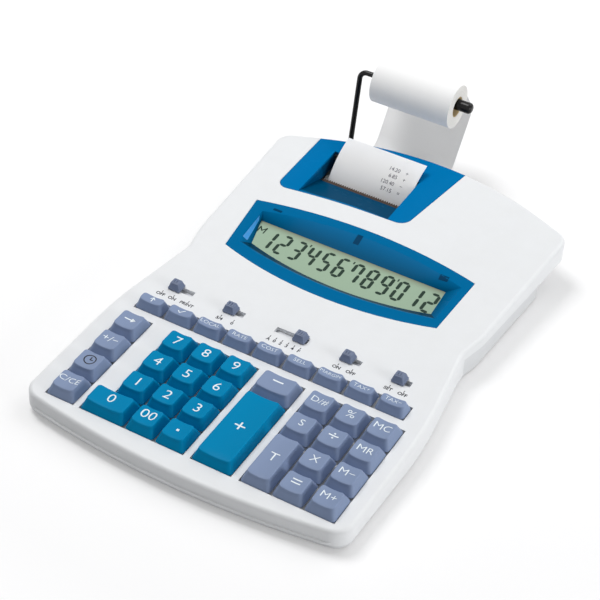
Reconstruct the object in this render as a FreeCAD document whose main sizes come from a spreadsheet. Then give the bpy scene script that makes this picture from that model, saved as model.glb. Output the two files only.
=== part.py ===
import FreeCAD, Part
import Sketcher
import math
import os

from FreeCAD import Placement, Rotation, Vector

# Printing desktop calculator. Millimetres, +Z up, the front edge towards -Y, the desk at Z = 0.
# Setbacks are measured back from the middle of the front edge. On the two sloping tops, heights
# are square to the surface: zero on it and negative inside.

SIZES = {
    # casing in plan
    "front_edge": 181.14,
    "deck_length": 162.4,
    "head_length": 151.0,
    "front_half": 102.6,
    "side_swell": 0.3,
    "waist_inset": 9.6,
    "shoulder_inset": 5.8,
    "rear_inset": 0.3,
    "front_bow_radius": 540.0,
    "front_bow_angle": 9.0,
    "side_length": 88.0,
    "side_radius": 250.0,
    "waist_radius": 18.0,
    "shoulder_length": 19.0,
    "shoulder_radius": 40.0,
    "rear_bow_radius": 209.0,
    "rear_bow_angle": 22.0,
    "front_corner_radius": 11.0,
    "rear_corner_radius": 10.0,
    # lower rear of the casing, drawn in under the head
    "lower_corner_inset": 2.8,
    "lower_corner_setback": 263.4,
    "lower_turn_inset": 28.6,
    "lower_turn_setback": 289.4,
    "lower_apex_setback": 305.4,
    "lower_corner_radius": 12.0,
    "lower_turn_radius": 30.0,
    "lower_bow_radius": 200.0,
    # casing in side view
    "deck_height": 14.46,
    "deck_tilt": 3.0,
    "head_tilt": 3.91,
    "crease_radius": 600.0,
    "top_edge_radius": 2.4,
    "bottom_edge_radius": 1.8,
    "wall": 2.4,
    "floor_gap": 1.2,
    "floor_thickness": 2.2,
    "deck_parting": 4.5,
    "head_parting": 17.5,
    "parting_gap": 0.1,
    "parting_groove": 0.5,
    "overcut": 1.0,
    "lower_inset": 0.6,
    "tongue_height": 3.0,
    # key columns, from the middle, and the key caps
    "left_column": -80.7,
    "digit_column": -47.9,
    "add_column": 17.8,
    "total_column": 44.9,
    "function_column": -79.6,
    "key_pitch": 19.5,
    "key_width": 18.24,
    "key_depth": 18.9,
    "zero_key_width": 28.2,
    "add_key_width": 25.0,
    "key_height": 6.2,
    "key_drop": 0.4,
    "key_side_slope": 2.5,
    "key_end_slope": 3.1,
    "key_corner": 1.2,
    "key_wall": 1.3,
    "key_travel": 2.4,
    "key_clearance": 0.5,
    "key_row_setback": 23.4,
    "plate_depth": 3.1,
    "plate_thickness": 1.4,
    "stem_size": 6.0,
    "stem_clearance": 0.3,
    "hook_reach": 1.5,
    "hook_height": 0.9,
    "running_gap": 0.3,
    "function_pitch": 19.84,
    "function_depth": 10.9,
    "function_row": 80.45,
    # slide switches
    "switch_row": 101.7,
    "slot_width": 4.4,
    "knob_width": 8.0,
    "knob_depth": 7.4,
    "knob_height": 5.0,
    "knob_base": 1.2,
    "knob_slope": 1.3,
    "knob_stem": 3.6,
    "knob_plate": 1.2,
    "switch_depth": 7.5,
    "print_slot_left": -79.4,
    "print_slot_right": -65.0,
    "print_knob": -76.9,
    "rounding_slot_left": -41.6,
    "rounding_slot_right": -30.0,
    "rounding_knob": -39.0,
    "decimal_slot_left": -8.6,
    "decimal_slot_right": 12.7,
    "decimal_knob": 8.0,
    "item_slot_left": 36.0,
    "item_slot_right": 47.5,
    "item_knob": 39.0,
    "rate_slot_left": 69.6,
    "rate_slot_right": 79.5,
    "rate_knob": 72.2,
    # boards
    "board_thickness": 1.5,
    "membrane_thickness": 0.9,
    "board_margin": 14.6,
    "board_front": 12.0,
    "membrane_back": 90.0,
    "board_back": 112.0,
    "board_post_radius": 3.0,
    "board_post_margin": 32.6,
    "board_post_front": 20.0,
    "board_post_rear": 100.0,
    # display bezel and panel, in from the waist
    "bezel_centre": -4.2,
    "bezel_rear_half": 75.9,
    "bezel_front_half": 72.0,
    "bezel_lean": 2.1,
    "bezel_front_apex": 0.4,
    "bezel_front_corner": 11.9,
    "bezel_rear_corner": 58.3,
    "bezel_rear_apex": 68.0,
    "bezel_thickness": 1.5,
    "rim_centre": -2.4,
    "rim_rear_half": 69.0,
    "rim_front_half": 67.4,
    "rim_lean": 0.8,
    "rim_front_apex": 9.8,
    "rim_front_corner": 18.4,
    "rim_rear_corner": 50.8,
    "rim_rear_apex": 61.4,
    "window_centre": -5.85,
    "window_rear_half": 64.05,
    "window_front_half": 61.75,
    "window_lean": 3.7,
    "window_front_apex": 16.2,
    "window_front_corner": 25.6,
    "window_rear": 47.3,
    "bezel_depth": 4.6,
    "bezel_wall": 1.2,
    "bezel_corner": 1.5,
    "ledge_width": 3.0,
    "ledge_thickness": 1.6,
    "seat_gap": 0.15,
    "panel_margin": 2.0,
    "panel_thickness": 2.6,
    # printer cover, in from the waist
    "cover_left": -77.6,
    "cover_right": 10.6,
    "cover_spread": 0.148,
    "cover_front_left": 77.2,
    "cover_front_middle": 83.1,
    "cover_front_right": 84.6,
    "cover_corner": 6.0,
    "cover_corner_right": 8.0,
    "cover_bow_radius": 380.0,
    "cover_thickness": 2.0,
    "cover_gap": 0.3,
    "cover_travel": 2.5,
    "recess_left": -63.0,
    "recess_right": -1.3,
    "recess_front": 84.4,
    "recess_corner_drop": 4.0,
    "ramp_start": 81.0,
    "ramp_rise": 0.6,
    "ramp_drop": 9.6,
    "ramp_end": 107.2,
    "exit_end": 127.3,
    "recess_wall": 1.4,
    # paper and printer
    "paper_centre": -30.3,
    "paper_width": 57.0,
    "paper_thickness": 0.3,
    "paper_gap": 0.3,
    "exit_angle": 62.0,
    "curl_height": 32.4,
    "curl_radius": 42.0,
    "curl_tail": 19.2,
    "curl_end_angle": 17.0,
    "belly_reach": 26.77,
    "belly_drop": 15.0,
    "belly_radius": 9.0,
    "turn_reach": 2.0,
    "turn_drop": 3.5,
    "guide_reach": 30.5,
    "guide_drop": 4.5,
    "entry_reach": 7.5,
    "turn_radius": 16.0,
    "guide_radius": 30.0,
    "slot_height": 4.0,
    "slot_side_gap": 1.5,
    "feed_radius": 6.0,
    "feed_height": 12.5,
    "feed_setback": 277.9,
    "gear_radius": 6.8,
    "gear_width": 2.6,
    "gear_gap": 0.6,
    "tyre_inset": 0.8,
    "drum_radius": 6.5,
    "drum_distance": 14.0,
    "ink_radius": 5.5,
    "roller_gap": 0.2,
    "shaft_radius": 1.5,
    "shaft_clearance": 0.06,
    "shaft_end": 1.0,
    "chassis_plate": 1.5,
    "chassis_left": -66.5,
    "chassis_right": 4.5,
    "chassis_front_setback": 244.5,
    "chassis_rear_setback": 283.7,
    "chassis_height": 18.0,
    "motor_radius": 10.0,
    "motor_length": 26.0,
    "motor_setback": 267.4,
    "motor_left": 9.5,
    # paper roll and its arm
    "roll_radius": 14.5,
    "core_radius": 7.0,
    "core_bore": 6.0,
    "spindle_radius": 3.7,
    "spindle_left": -61.5,
    "spindle_right": 8.5,
    "spindle_tip": 2.4,
    "collar_radius": 4.6,
    "collar_width": 1.3,
    "wire_radius": 1.75,
    "wire_bend": 5.0,
    "wire_clearance": 0.05,
    "arm_offset": -73.0,
    "arm_setback": 337.4,
    "arm_height": 64.5,
    "arm_lean": 7.0,
    "arm_socket_height": 11.0,
    "arm_socket_length": 12.0,
    # fasteners, feet and inlet
    "foot_radius": 6.0,
    "foot_recess": 0.8,
    "foot_clearance": 0.1,
    "foot_inset": 22.6,
    "foot_front_setback": 25.0,
    "foot_rear_setback": 240.0,
    "screw_radius": 1.45,
    "screw_head_radius": 2.8,
    "screw_head_height": 1.5,
    "screw_seat": 3.0,
    "screw_length": 9.0,
    "screw_hole_gap": 0.25,
    "screw_front_inset": 9.2,
    "screw_front_setback": 30.0,
    "screw_middle_inset": 17.4,
    "screw_middle_setback": 150.0,
    "screw_rear_inset": 14.6,
    "screw_rear_setback": 225.0,
    "boss_radius": 3.8,
    "boss_top": 8.0,
    "post_radius": 3.4,
    "jack_place": 50.0,
    "jack_setback": 288.2,
    "jack_width": 9.0,
    "jack_length": 12.5,
    "jack_height": 9.6,
    "jack_nose_radius": 3.9,
    "jack_nose_length": 2.6,
    "jack_bore": 2.75,
    "jack_depth": 11.0,
}

doc = FreeCAD.newDocument("calculator")
sheet = doc.addObject("Spreadsheet::Sheet", "sizes")
for row, (alias, number) in enumerate(SIZES.items(), start=1):
    sheet.set("A%d" % row, alias)
    sheet.set("B%d" % row, str(number))
    sheet.setAlias("B%d" % row, alias)
doc.recompute()


def size(alias):
    return float(getattr(sheet, alias))


def at(setback):
    """Y of a place named by its setback from the front edge."""
    return size(setback) - size("front_edge")


def half_less(inset):
    """Half width of the casing at its front corners, less an inset."""
    return size("front_half") - size(inset)


FRONT = -size("front_edge")
WAIST = FRONT + size("deck_length")
REAR = WAIST + size("head_length")
DECK_SLOPE = math.tan(math.radians(size("deck_tilt")))
HEAD_SLOPE = math.tan(math.radians(size("head_tilt")))
WAIST_HEIGHT = size("deck_height") + size("deck_length") * DECK_SLOPE
ROW_HEIGHT = size("deck_height") + size("key_row_setback") * DECK_SLOPE
DECK = Placement(Vector(0, at("key_row_setback"), ROW_HEIGHT), Rotation(Vector(1, 0, 0), size("deck_tilt")))
HEAD = Placement(Vector(0, WAIST, WAIST_HEIGHT), Rotation(Vector(1, 0, 0), size("head_tilt")))
FLOOR = size("floor_gap") + size("floor_thickness")
SIDE_HALF = size("front_half") + size("side_swell")
WAIST_HALF = half_less("waist_inset")
OVER = size("overcut")
BEYOND = 30.0

parts = {}


def keep(node, obj, placement=None):
    """Name a finished sub-part and set it in the frame."""
    obj.Label = node
    if placement is not None:
        obj.Placement = placement
    parts[node] = obj
    return obj


def feature(node, shape, placement=None):
    """A sub-part whose form only Part's own functions can make."""
    obj = doc.addObject("Part::Feature", node)
    obj.Shape = shape.removeSplitter()
    return keep(node, obj, placement)


# Outlines and plain solids


def tangent_edges(points, radii, closed=True):
    """Straight runs through the points, each corner rounded by its own radius."""
    last = len(points) - 1
    ends = []
    for i, radius in enumerate(radii):
        here = points[i]
        if radius <= 0 or (not closed and i in (0, last)):
            ends.append((here, here, None))
            continue
        back = (points[i - 1] - here).normalize()
        ahead = (points[(i + 1) % len(points)] - here).normalize()
        half = back.getAngle(ahead) / 2
        reach = radius / math.tan(half)
        inward = (back + ahead).normalize()
        middle = here + inward * (radius / math.sin(half) - radius)
        ends.append((here + back * reach, here + ahead * reach, middle))
    edges = []
    for i, (start, stop, middle) in enumerate(ends):
        if middle is not None:
            edges.append(Part.Arc(start, middle, stop).toShape())
        if i == last and not closed:
            break
        following = ends[(i + 1) % len(ends)][0]
        if (following - stop).Length > 1e-6:
            edges.append(Part.LineSegment(stop, following).toShape())
    return edges


def outline(corners):
    """Closed wire in plan from (x, y, radius) corners."""
    points = [Vector(x, y, 0) for x, y, r in corners]
    return Part.Wire(tangent_edges(points, [r for x, y, r in corners]))


def prism(wire, low, high):
    """Solid standing on a plan wire between two heights."""
    base = Part.Face(wire)
    base.translate(Vector(0, 0, low))
    return base.extrude(Vector(0, 0, high - low))


def grown(wire, distance):
    return wire.makeOffset2D(distance)


def block(x0, x1, y0, y1, z0, z1):
    return Part.makeBox(x1 - x0, y1 - y0, z1 - z0, Vector(x0, y0, z0))


def post(radius, x, y, z0, z1):
    return Part.makeCylinder(radius, z1 - z0, Vector(x, y, z0))


def rod(radius, x0, x1, y, z):
    return Part.makeCylinder(radius, x1 - x0, Vector(x0, y, z), Vector(1, 0, 0))


def side_solid(corners, x0, x1):
    """Solid between two values of X from (y, z, radius) corners."""
    points = [Vector(x0, y, z) for y, z, r in corners]
    face = Part.Face(Part.Wire(tangent_edges(points, [r for y, z, r in corners])))
    return face.extrude(Vector(x1 - x0, 0, 0))


def on(placement, shape):
    """The shape, drawn square to a sloping top, set on that top."""
    moved = shape.copy()
    moved.Placement = placement.multiply(moved.Placement)
    return moved


def casing_outline(rear_corners, rear_apex):
    """The casing in plan: bowed front, straight sides, waist, and the rear as given."""
    turn = math.radians(size("front_bow_angle"))
    apex = FRONT - size("front_bow_radius") * (1 / math.cos(turn) - 1)
    corner = apex + size("front_half") * math.tan(turn)
    right = [
        (size("front_half"), corner, size("front_corner_radius")),
        (SIDE_HALF, corner + size("side_length"), size("side_radius")),
        (WAIST_HALF, WAIST, size("waist_radius")),
        (half_less("shoulder_inset"), WAIST + size("shoulder_length"), size("shoulder_radius")),
    ] + rear_corners
    left = [(-x, y, r) for x, y, r in reversed(right)]
    return outline([(0, apex, size("front_bow_radius"))] + right + [rear_apex] + left)


rear_turn = math.radians(size("rear_bow_angle"))
rear_apex = REAR + size("rear_bow_radius") * (1 / math.cos(rear_turn) - 1)
rear_corner = rear_apex - half_less("rear_inset") * math.tan(rear_turn)
UPPER = casing_outline(
    [(half_less("rear_inset"), rear_corner, size("rear_corner_radius"))],
    (0, rear_apex, size("rear_bow_radius")),
)
LOWER = casing_outline(
    [
        (half_less("lower_corner_inset"), at("lower_corner_setback"), size("lower_corner_radius")),
        (half_less("lower_turn_inset"), at("lower_turn_setback"), size("lower_turn_radius")),
    ],
    (0, at("lower_apex_setback"), size("lower_bow_radius")),
)


def under_top(depth):
    """Everything below a surface that lies a depth under the deck and the head."""
    front, rear = FRONT - BEYOND, REAR + BEYOND
    drop = depth / math.cos(math.radians(size("deck_tilt")))
    corners = [
        (front, WAIST_HEIGHT + (front - WAIST) * DECK_SLOPE - drop, 0),
        (WAIST, WAIST_HEIGHT - drop, size("crease_radius")),
        (rear, WAIST_HEIGHT + (rear - WAIST) * HEAD_SLOPE - drop, 0),
        (rear, -BEYOND, 0),
        (front, -BEYOND, 0),
    ]
    return side_solid(corners, -SIDE_HALF - BEYOND, SIDE_HALF + BEYOND)


# Key layout: node, group, column place, row place, width and depth. Rows count back from the front.

ONE_ROW = "sizes.key_depth"
TWO_ROWS = "sizes.key_depth + sizes.key_pitch"
THREE_ROWS = "sizes.key_depth + 2 * sizes.key_pitch"
ONE = "sizes.key_width"


def digit_place(column):
    return size("digit_column") + column * size("key_pitch")


def total_place(column):
    return size("total_column") + column * size("key_pitch")


zero_place = size("digit_column") + (size("key_width") - size("zero_key_width")) / 2
KEYS = [
    ("key_0", "zero", zero_place, 0, "sizes.zero_key_width", ONE_ROW),
    ("key_00", "digit", digit_place(1), 0, ONE, ONE_ROW),
    ("key_point", "digit", digit_place(2), 0, ONE, ONE_ROW),
    ("key_plus", "add", size("add_column"), 1, "sizes.add_key_width", THREE_ROWS),
    ("key_minus", "add", size("add_column"), 3, "sizes.add_key_width", ONE_ROW),
    ("key_total", "total", total_place(0), 0.5, ONE, TWO_ROWS),
    ("key_subtotal", "total", total_place(0), 2, ONE, ONE_ROW),
    ("key_number", "total", total_place(0), 3, ONE, ONE_ROW),
]
for i, node in enumerate(("key_clear", "key_clock", "key_sign", "key_arrow")):
    KEYS.append((node, "left", size("left_column"), i, ONE, ONE_ROW))
for digit in range(9):
    KEYS.append(("key_%d" % (digit + 1), "digit", digit_place(digit % 3), 1 + digit // 3, ONE, ONE_ROW))
for i, node in enumerate(("key_equals", "key_multiply", "key_divide", "key_percent")):
    KEYS.append((node, "total", total_place(1), i, ONE, ONE_ROW))
for i, node in enumerate(("memory_plus", "memory_minus", "memory_recall", "memory_clear")):
    KEYS.append(("key_" + node, "total", total_place(2), i, ONE, ONE_ROW))
FUNCTIONS = ("shift", "check", "local", "rate", "cost", "sell", "margin", "tax_plus", "tax_minus")

# Depths under the deck, each from the one above it
PLATE_UNDER = "(sizes.plate_depth + sizes.plate_thickness)"
HOOK_UNDER = "(%s + sizes.running_gap + sizes.hook_height)" % PLATE_UNDER
MEMBRANE_TOP = "(%s + sizes.key_travel + sizes.running_gap)" % HOOK_UNDER
BOARD_TOP = "(%s + sizes.membrane_thickness)" % MEMBRANE_TOP
KNOB_UNDER = "(sizes.wall + sizes.running_gap + sizes.knob_plate)"


def value_of(expression):
    """The number that a cell expression stands for."""
    probe = doc.addObject("App::FeaturePython", "probe")
    probe.addProperty("App::PropertyFloat", "number")
    probe.setExpression("number", expression)
    probe.recompute()
    number = probe.number
    doc.removeObject(probe.Name)
    return number


plate_under = value_of(PLATE_UNDER)
hook_under = value_of(HOOK_UNDER)
board_top = value_of(BOARD_TOP)
board_under = board_top + size("board_thickness")
knob_under = value_of(KNOB_UNDER)


def bound(kind, name, **expressions):
    """A Part primitive whose sizes follow cell expressions."""
    obj = doc.addObject(kind, name)
    for prop, expression in expressions.items():
        obj.setExpression(prop, expression)
    return obj


def tapered(name, width, depth, foot, top, inset):
    """Four-sided cap, wide at its foot, whose sides lean in by the two slopes."""
    wedge = bound(
        "Part::Wedge", name,
        Xmin="-(%s) / 2 + %s" % (width, inset), Xmax="(%s) / 2 - %s" % (width, inset),
        Zmin="-(%s) / 2 + %s" % (depth, inset), Zmax="(%s) / 2 - %s" % (depth, inset),
        X2min="-(%s) / 2 + %s + sizes.key_side_slope" % (width, inset),
        X2max="(%s) / 2 - %s - sizes.key_side_slope" % (width, inset),
        Z2min="-(%s) / 2 + %s + sizes.key_end_slope" % (depth, inset),
        Z2max="(%s) / 2 - %s - sizes.key_end_slope" % (depth, inset),
        Ymin=foot, Ymax=top,
    )
    wedge.Placement = Placement(Vector(0, 0, 0), Rotation(Vector(1, 0, 0), 90))
    return wedge


def centred_box(name, width, depth, low, height):
    """Box centred in plan, standing on a height given as a number."""
    obj = bound("Part::Box", name, Length=width, Width=depth, Height=height)
    obj.Placement = Placement(Vector(-value_of(width) / 2, -value_of(depth) / 2, low), Rotation())
    return obj


def key(node, x, y, width, depth):
    """Hollow cap with a square stem and two hooks that hold it up in its plate."""
    cap = tapered(node + "_cap", width, depth, "-sizes.key_drop", "sizes.key_height", "0")
    doc.recompute([cap])
    rounded = doc.addObject("Part::Fillet", node + "_rounded")
    rounded.Base = cap
    radius = size("key_corner")
    leaning = [
        i for i, edge in enumerate(cap.Shape.Edges, start=1)
        if edge.BoundBox.ZLength > size("key_height") / 2
    ]
    rounded.Edges = [(i, radius, radius) for i in leaning]
    hollow = tapered(
        node + "_hollow", width, depth,
        "-sizes.key_drop - sizes.overcut", "sizes.key_height - sizes.key_wall", "sizes.key_wall",
    )
    shell = doc.addObject("Part::Cut", node + "_shell")
    shell.Base, shell.Tool = rounded, hollow
    stem_height = "sizes.key_height - sizes.key_wall / 2 + %s" % HOOK_UNDER
    stem = centred_box(node + "_stem", "sizes.stem_size", "sizes.stem_size", -hook_under, stem_height)
    hook_width = "sizes.stem_size + 2 * sizes.hook_reach"
    hooks = centred_box(node + "_hooks", hook_width, "sizes.stem_size", -hook_under, "sizes.hook_height")
    whole = doc.addObject("Part::MultiFuse", node)
    whole.Shapes = [shell, stem, hooks]
    keep(node, whole, DECK.multiply(Placement(Vector(x, y, 0), Rotation())))


wells = {}
stems = []


def add_key(node, group, x, y, width, depth):
    key(node, x, y, width, depth)
    half_width = value_of(width) / 2 + size("key_clearance")
    half_depth = value_of(depth) / 2 + size("key_clearance")
    low_x, high_x, low_y, high_y = wells.get(group, (x, x, y, y))
    wells[group] = (
        min(low_x, x - half_width), max(high_x, x + half_width),
        min(low_y, y - half_depth), max(high_y, y + half_depth),
    )
    stems.append((x, y))


for node, group, x, row_number, width, depth in KEYS:
    add_key(node, group, x, row_number * size("key_pitch"), width, depth)
for i, name in enumerate(FUNCTIONS):
    x = size("function_column") + i * size("function_pitch")
    add_key("key_" + name, "function", x, size("function_row"), ONE, "sizes.function_depth")

# The digits' well starts at the front row, where the two groups of digit keys run into one.
x0, x1, y0, y1 = wells["digit"]
wells["digit"] = (digit_place(0) - size("key_width") / 2 - size("key_clearance"), x1, wells["zero"][2], y1)

# Slide switches: node, the cells that hold the ends of the slot, and where the knob rests

SWITCHES = [
    (name + "_switch_knob", name + "_slot_left", name + "_slot_right", size(name + "_knob"))
    for name in ("print", "rounding", "decimal", "item", "rate")
]


def knob(node, x):
    """Grip above the deck, a stem through its slot and a plate that holds it from below."""
    gap = size("running_gap")
    base = centred_box(node + "_base", "sizes.knob_width", "sizes.knob_depth", gap, "sizes.knob_base")
    grip = bound(
        "Part::Wedge", node + "_grip",
        Xmin="-sizes.knob_width / 2", Xmax="sizes.knob_width / 2",
        Zmin="-sizes.knob_depth / 2", Zmax="sizes.knob_depth / 2",
        X2min="-sizes.knob_width / 2 + sizes.knob_slope", X2max="sizes.knob_width / 2 - sizes.knob_slope",
        Z2min="-sizes.knob_depth / 2 + sizes.knob_slope", Z2max="sizes.knob_depth / 2 - sizes.knob_slope",
        Ymin="sizes.running_gap + sizes.knob_base", Ymax="sizes.knob_height",
    )
    grip.Placement = Placement(Vector(0, 0, 0), Rotation(Vector(1, 0, 0), 90))
    stem_height = "sizes.knob_height / 2 + %s" % KNOB_UNDER
    stem = centred_box(node + "_stem", "sizes.knob_stem", "sizes.knob_stem", -knob_under, stem_height)
    plate = centred_box(
        node + "_plate", "sizes.knob_width", "sizes.knob_depth", -knob_under, "sizes.knob_plate",
    )
    whole = doc.addObject("Part::MultiFuse", node)
    whole.Shapes = [base, grip, stem, plate]
    keep(node, whole, DECK.multiply(Placement(Vector(x, size("switch_row"), 0), Rotation())))


for node, left_end, right_end, place in SWITCHES:
    knob(node, place)


# Flat boards, as sketched and padded bodies


def origin_plane(body, role):
    return next(item for item in body.Origin.OriginFeatures if item.Role == role)


def padded(node, width, depth, height):
    """Rectangular plate from the origin corner, its three sizes bound to the cells."""
    body = doc.addObject("PartDesign::Body", node + "_body")
    sketch = body.newObject("Sketcher::SketchObject", node + "_sketch")
    sketch.AttachmentSupport = [(origin_plane(body, "XY_Plane"), "")]
    sketch.MapMode = "FlatFace"
    across, along = value_of(width), value_of(depth)
    corners = [Vector(0, 0, 0), Vector(across, 0, 0), Vector(across, along, 0), Vector(0, along, 0)]
    for i in range(4):
        sketch.addGeometry(Part.LineSegment(corners[i], corners[(i + 1) % 4]), False)
    for i in range(4):
        sketch.addConstraint(Sketcher.Constraint("Coincident", i, 2, (i + 1) % 4, 1))
        sketch.addConstraint(Sketcher.Constraint("Horizontal" if i % 2 == 0 else "Vertical", i))
    sketch.addConstraint(Sketcher.Constraint("Coincident", 0, 1, -1, 1))
    across_rule = sketch.addConstraint(Sketcher.Constraint("DistanceX", 0, 1, 0, 2, across))
    along_rule = sketch.addConstraint(Sketcher.Constraint("DistanceY", 1, 1, 1, 2, along))
    sketch.setExpression("Constraints[%d]" % across_rule, width)
    sketch.setExpression("Constraints[%d]" % along_rule, depth)
    pad = body.newObject("PartDesign::Pad", node + "_pad")
    pad.Profile = sketch
    pad.setExpression("Length", height)
    return body


def turned(node, profile):
    """Body turned about an axis along X, from (distance, radius) steps bound to the cells."""
    body = doc.addObject("PartDesign::Body", node + "_body")
    sketch = body.newObject("Sketcher::SketchObject", node + "_sketch")
    sketch.AttachmentSupport = [(origin_plane(body, "XY_Plane"), "")]
    sketch.MapMode = "FlatFace"
    points = [Vector(value_of(along), value_of(radius), 0) for along, radius in profile]
    count = len(points)
    for i in range(count):
        sketch.addGeometry(Part.LineSegment(points[i], points[(i + 1) % count]), False)
    for i in range(count):
        sketch.addConstraint(Sketcher.Constraint("Coincident", i, 2, (i + 1) % count, 1))
    for i, (along, radius) in enumerate(profile):
        for kind, expression, number in (("DistanceX", along, points[i].x), ("DistanceY", radius, points[i].y)):
            if expression == "0":
                axis = -2 if kind == "DistanceX" else -1
                sketch.addConstraint(Sketcher.Constraint("PointOnObject", i, 1, axis))
                continue
            rule = sketch.addConstraint(Sketcher.Constraint(kind, -1, 1, i, 1, number))
            sketch.setExpression("Constraints[%d]" % rule, expression)
    revolution = body.newObject("PartDesign::Revolution", node + "_revolution")
    revolution.Profile = sketch
    revolution.ReferenceAxis = (sketch, ["H_Axis"])
    revolution.Angle = 360.0
    return body


half_board = half_less("board_margin")
board_width = "2 * (sizes.front_half - sizes.board_margin)"
membrane = padded(
    "key_membrane", board_width, "sizes.board_front + sizes.membrane_back", "sizes.membrane_thickness",
)
keep("key_membrane", membrane, DECK.multiply(
    Placement(Vector(-half_board, -size("board_front"), -board_top), Rotation())
))
board = padded(
    "main_board_plate", board_width, "sizes.board_front + sizes.board_back", "sizes.board_thickness",
)
board_corner = Vector(-half_board, -size("board_front"), -board_under)
board.Placement = DECK.multiply(Placement(board_corner, Rotation()))
housings = []
for node, left_end, right_end, place in SWITCHES:
    housing = bound(
        "Part::Box", node + "_housing",
        Length="sizes.%s - sizes.%s" % (right_end, left_end), Width="sizes.switch_depth",
        Height="%s - %s - sizes.running_gap" % (BOARD_TOP, KNOB_UNDER),
    )
    corner = Vector(size(left_end), size("switch_row") - size("switch_depth") / 2, -board_top)
    housing.Placement = DECK.multiply(Placement(corner, Rotation()))
    housings.append(housing)
main_board = doc.addObject("Part::Compound", "main_board")
main_board.Links = [board] + housings
keep("main_board", main_board)

# Display bezel, a rim that lies in the head and slopes in to a window over the panel


def bowed(name, rear, rear_bow):
    """Wire with bowed front and rear edges, its front set to one side by its lean."""
    centre, front = size(name + "_centre"), size(name + "_front_corner")
    rear_half, front_half = size(name + "_rear_half"), size(name + "_front_half")
    front_centre = centre + size(name + "_lean")
    rear_left, rear_right = Vector(centre - rear_half, rear, 0), Vector(centre + rear_half, rear, 0)
    front_left = Vector(front_centre - front_half, front, 0)
    front_right = Vector(front_centre + front_half, front, 0)
    if abs(rear_bow - rear) < 1e-6:
        rear_edge = Part.LineSegment(rear_left, rear_right).toShape()
    else:
        rear_edge = Part.Arc(rear_left, Vector(centre, rear_bow, 0), rear_right).toShape()
    front_apex = Vector(front_centre, size(name + "_front_apex"), 0)
    front_edge = Part.Arc(front_right, front_apex, front_left).toShape()
    sides = [
        Part.LineSegment(rear_right, front_right).toShape(),
        Part.LineSegment(front_left, rear_left).toShape(),
    ]
    return Part.Wire([rear_edge, sides[0], front_edge, sides[1]])


bezel_wire = bowed("bezel", size("bezel_rear_corner"), size("bezel_rear_apex"))
rim_wire = bowed("rim", size("rim_rear_corner"), size("rim_rear_apex"))
window_wire = bowed("window", size("window_rear"), size("window_rear"))
bezel_plate = prism(bezel_wire, -size("bezel_thickness"), 0)
corners = [edge for edge in bezel_plate.Edges if abs(edge.BoundBox.ZLength - size("bezel_thickness")) < 1e-3]
bezel_plate = bezel_plate.makeFillet(size("bezel_corner"), corners)
bezel_sill = prism(grown(rim_wire, size("bezel_wall")), -size("bezel_depth"), -size("bezel_thickness"))
low_wire, high_wire = window_wire.copy(), rim_wire.copy()
low_wire.translate(Vector(0, 0, -size("bezel_depth")))
funnel = Part.makeLoft([low_wire, high_wire], True, True)
bezel = bezel_plate.fuse(bezel_sill).cut(funnel)
feature("display_bezel", bezel, HEAD)

panel_width = "2 * (sizes.window_rear_half + sizes.panel_margin)"
panel_depth = "sizes.window_rear - sizes.window_front_apex + 2 * sizes.panel_margin"
panel = padded("lcd_panel", panel_width, panel_depth, "sizes.panel_thickness")
panel_left = size("window_centre") - size("window_rear_half") - size("panel_margin")
panel_front = size("window_front_apex") - size("panel_margin")
panel_low = -size("bezel_depth") - size("parting_gap") - size("panel_thickness")
keep("lcd_panel", panel, HEAD.multiply(Placement(Vector(panel_left, panel_front, panel_low), Rotation())))

# Casing

wall, gap = size("wall"), size("parting_gap")
step = WAIST + size("wall")
solid_top = prism(UPPER, size("deck_parting"), WAIST_HEIGHT + BEYOND).common(under_top(0))
rim_edges = []
for edge in solid_top.Edges:
    middle = edge.valueAt((edge.FirstParameter + edge.LastParameter) / 2)
    crosses = edge.BoundBox.YLength < 1e-3 and edge.BoundBox.XLength > WAIST_HALF
    upright = edge.BoundBox.XLength < 1e-3 and edge.BoundBox.YLength < 1e-3
    if middle.z > size("deck_parting") + size("top_edge_radius") and not crosses and not upright:
        rim_edges.append(edge)
solid_top = solid_top.makeFillet(size("top_edge_radius"), rim_edges)


def cover_wire(distance=0.0):
    """The printer cover in the plane of the head, running out past the rear edge."""
    left, right, spread = size("cover_left"), size("cover_right"), size("cover_spread")
    beyond = size("head_length") + BEYOND
    middle = (left + size("recess_right")) / 2
    wire = outline([
        (left, size("cover_front_left"), size("cover_corner")),
        (middle, size("cover_front_middle"), size("cover_bow_radius")),
        (right, size("cover_front_right"), size("cover_corner_right")),
        (right + (beyond - size("cover_front_right")) * spread, beyond, 0),
        (left, beyond, 0),
    ])
    return grown(wire, distance) if distance else wire


bezel_seat = on(HEAD, prism(grown(bezel_wire, size("seat_gap")), -size("bezel_thickness") - gap, BEYOND))
bezel_hole = on(HEAD, prism(grown(rim_wire, size("bezel_wall") + size("seat_gap")), -BEYOND, BEYOND))
ledge_low = -size("bezel_thickness") - gap - size("ledge_thickness")
bezel_ledge = on(HEAD, prism(grown(bezel_wire, size("ledge_thickness")), ledge_low, -wall / 2))

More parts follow.
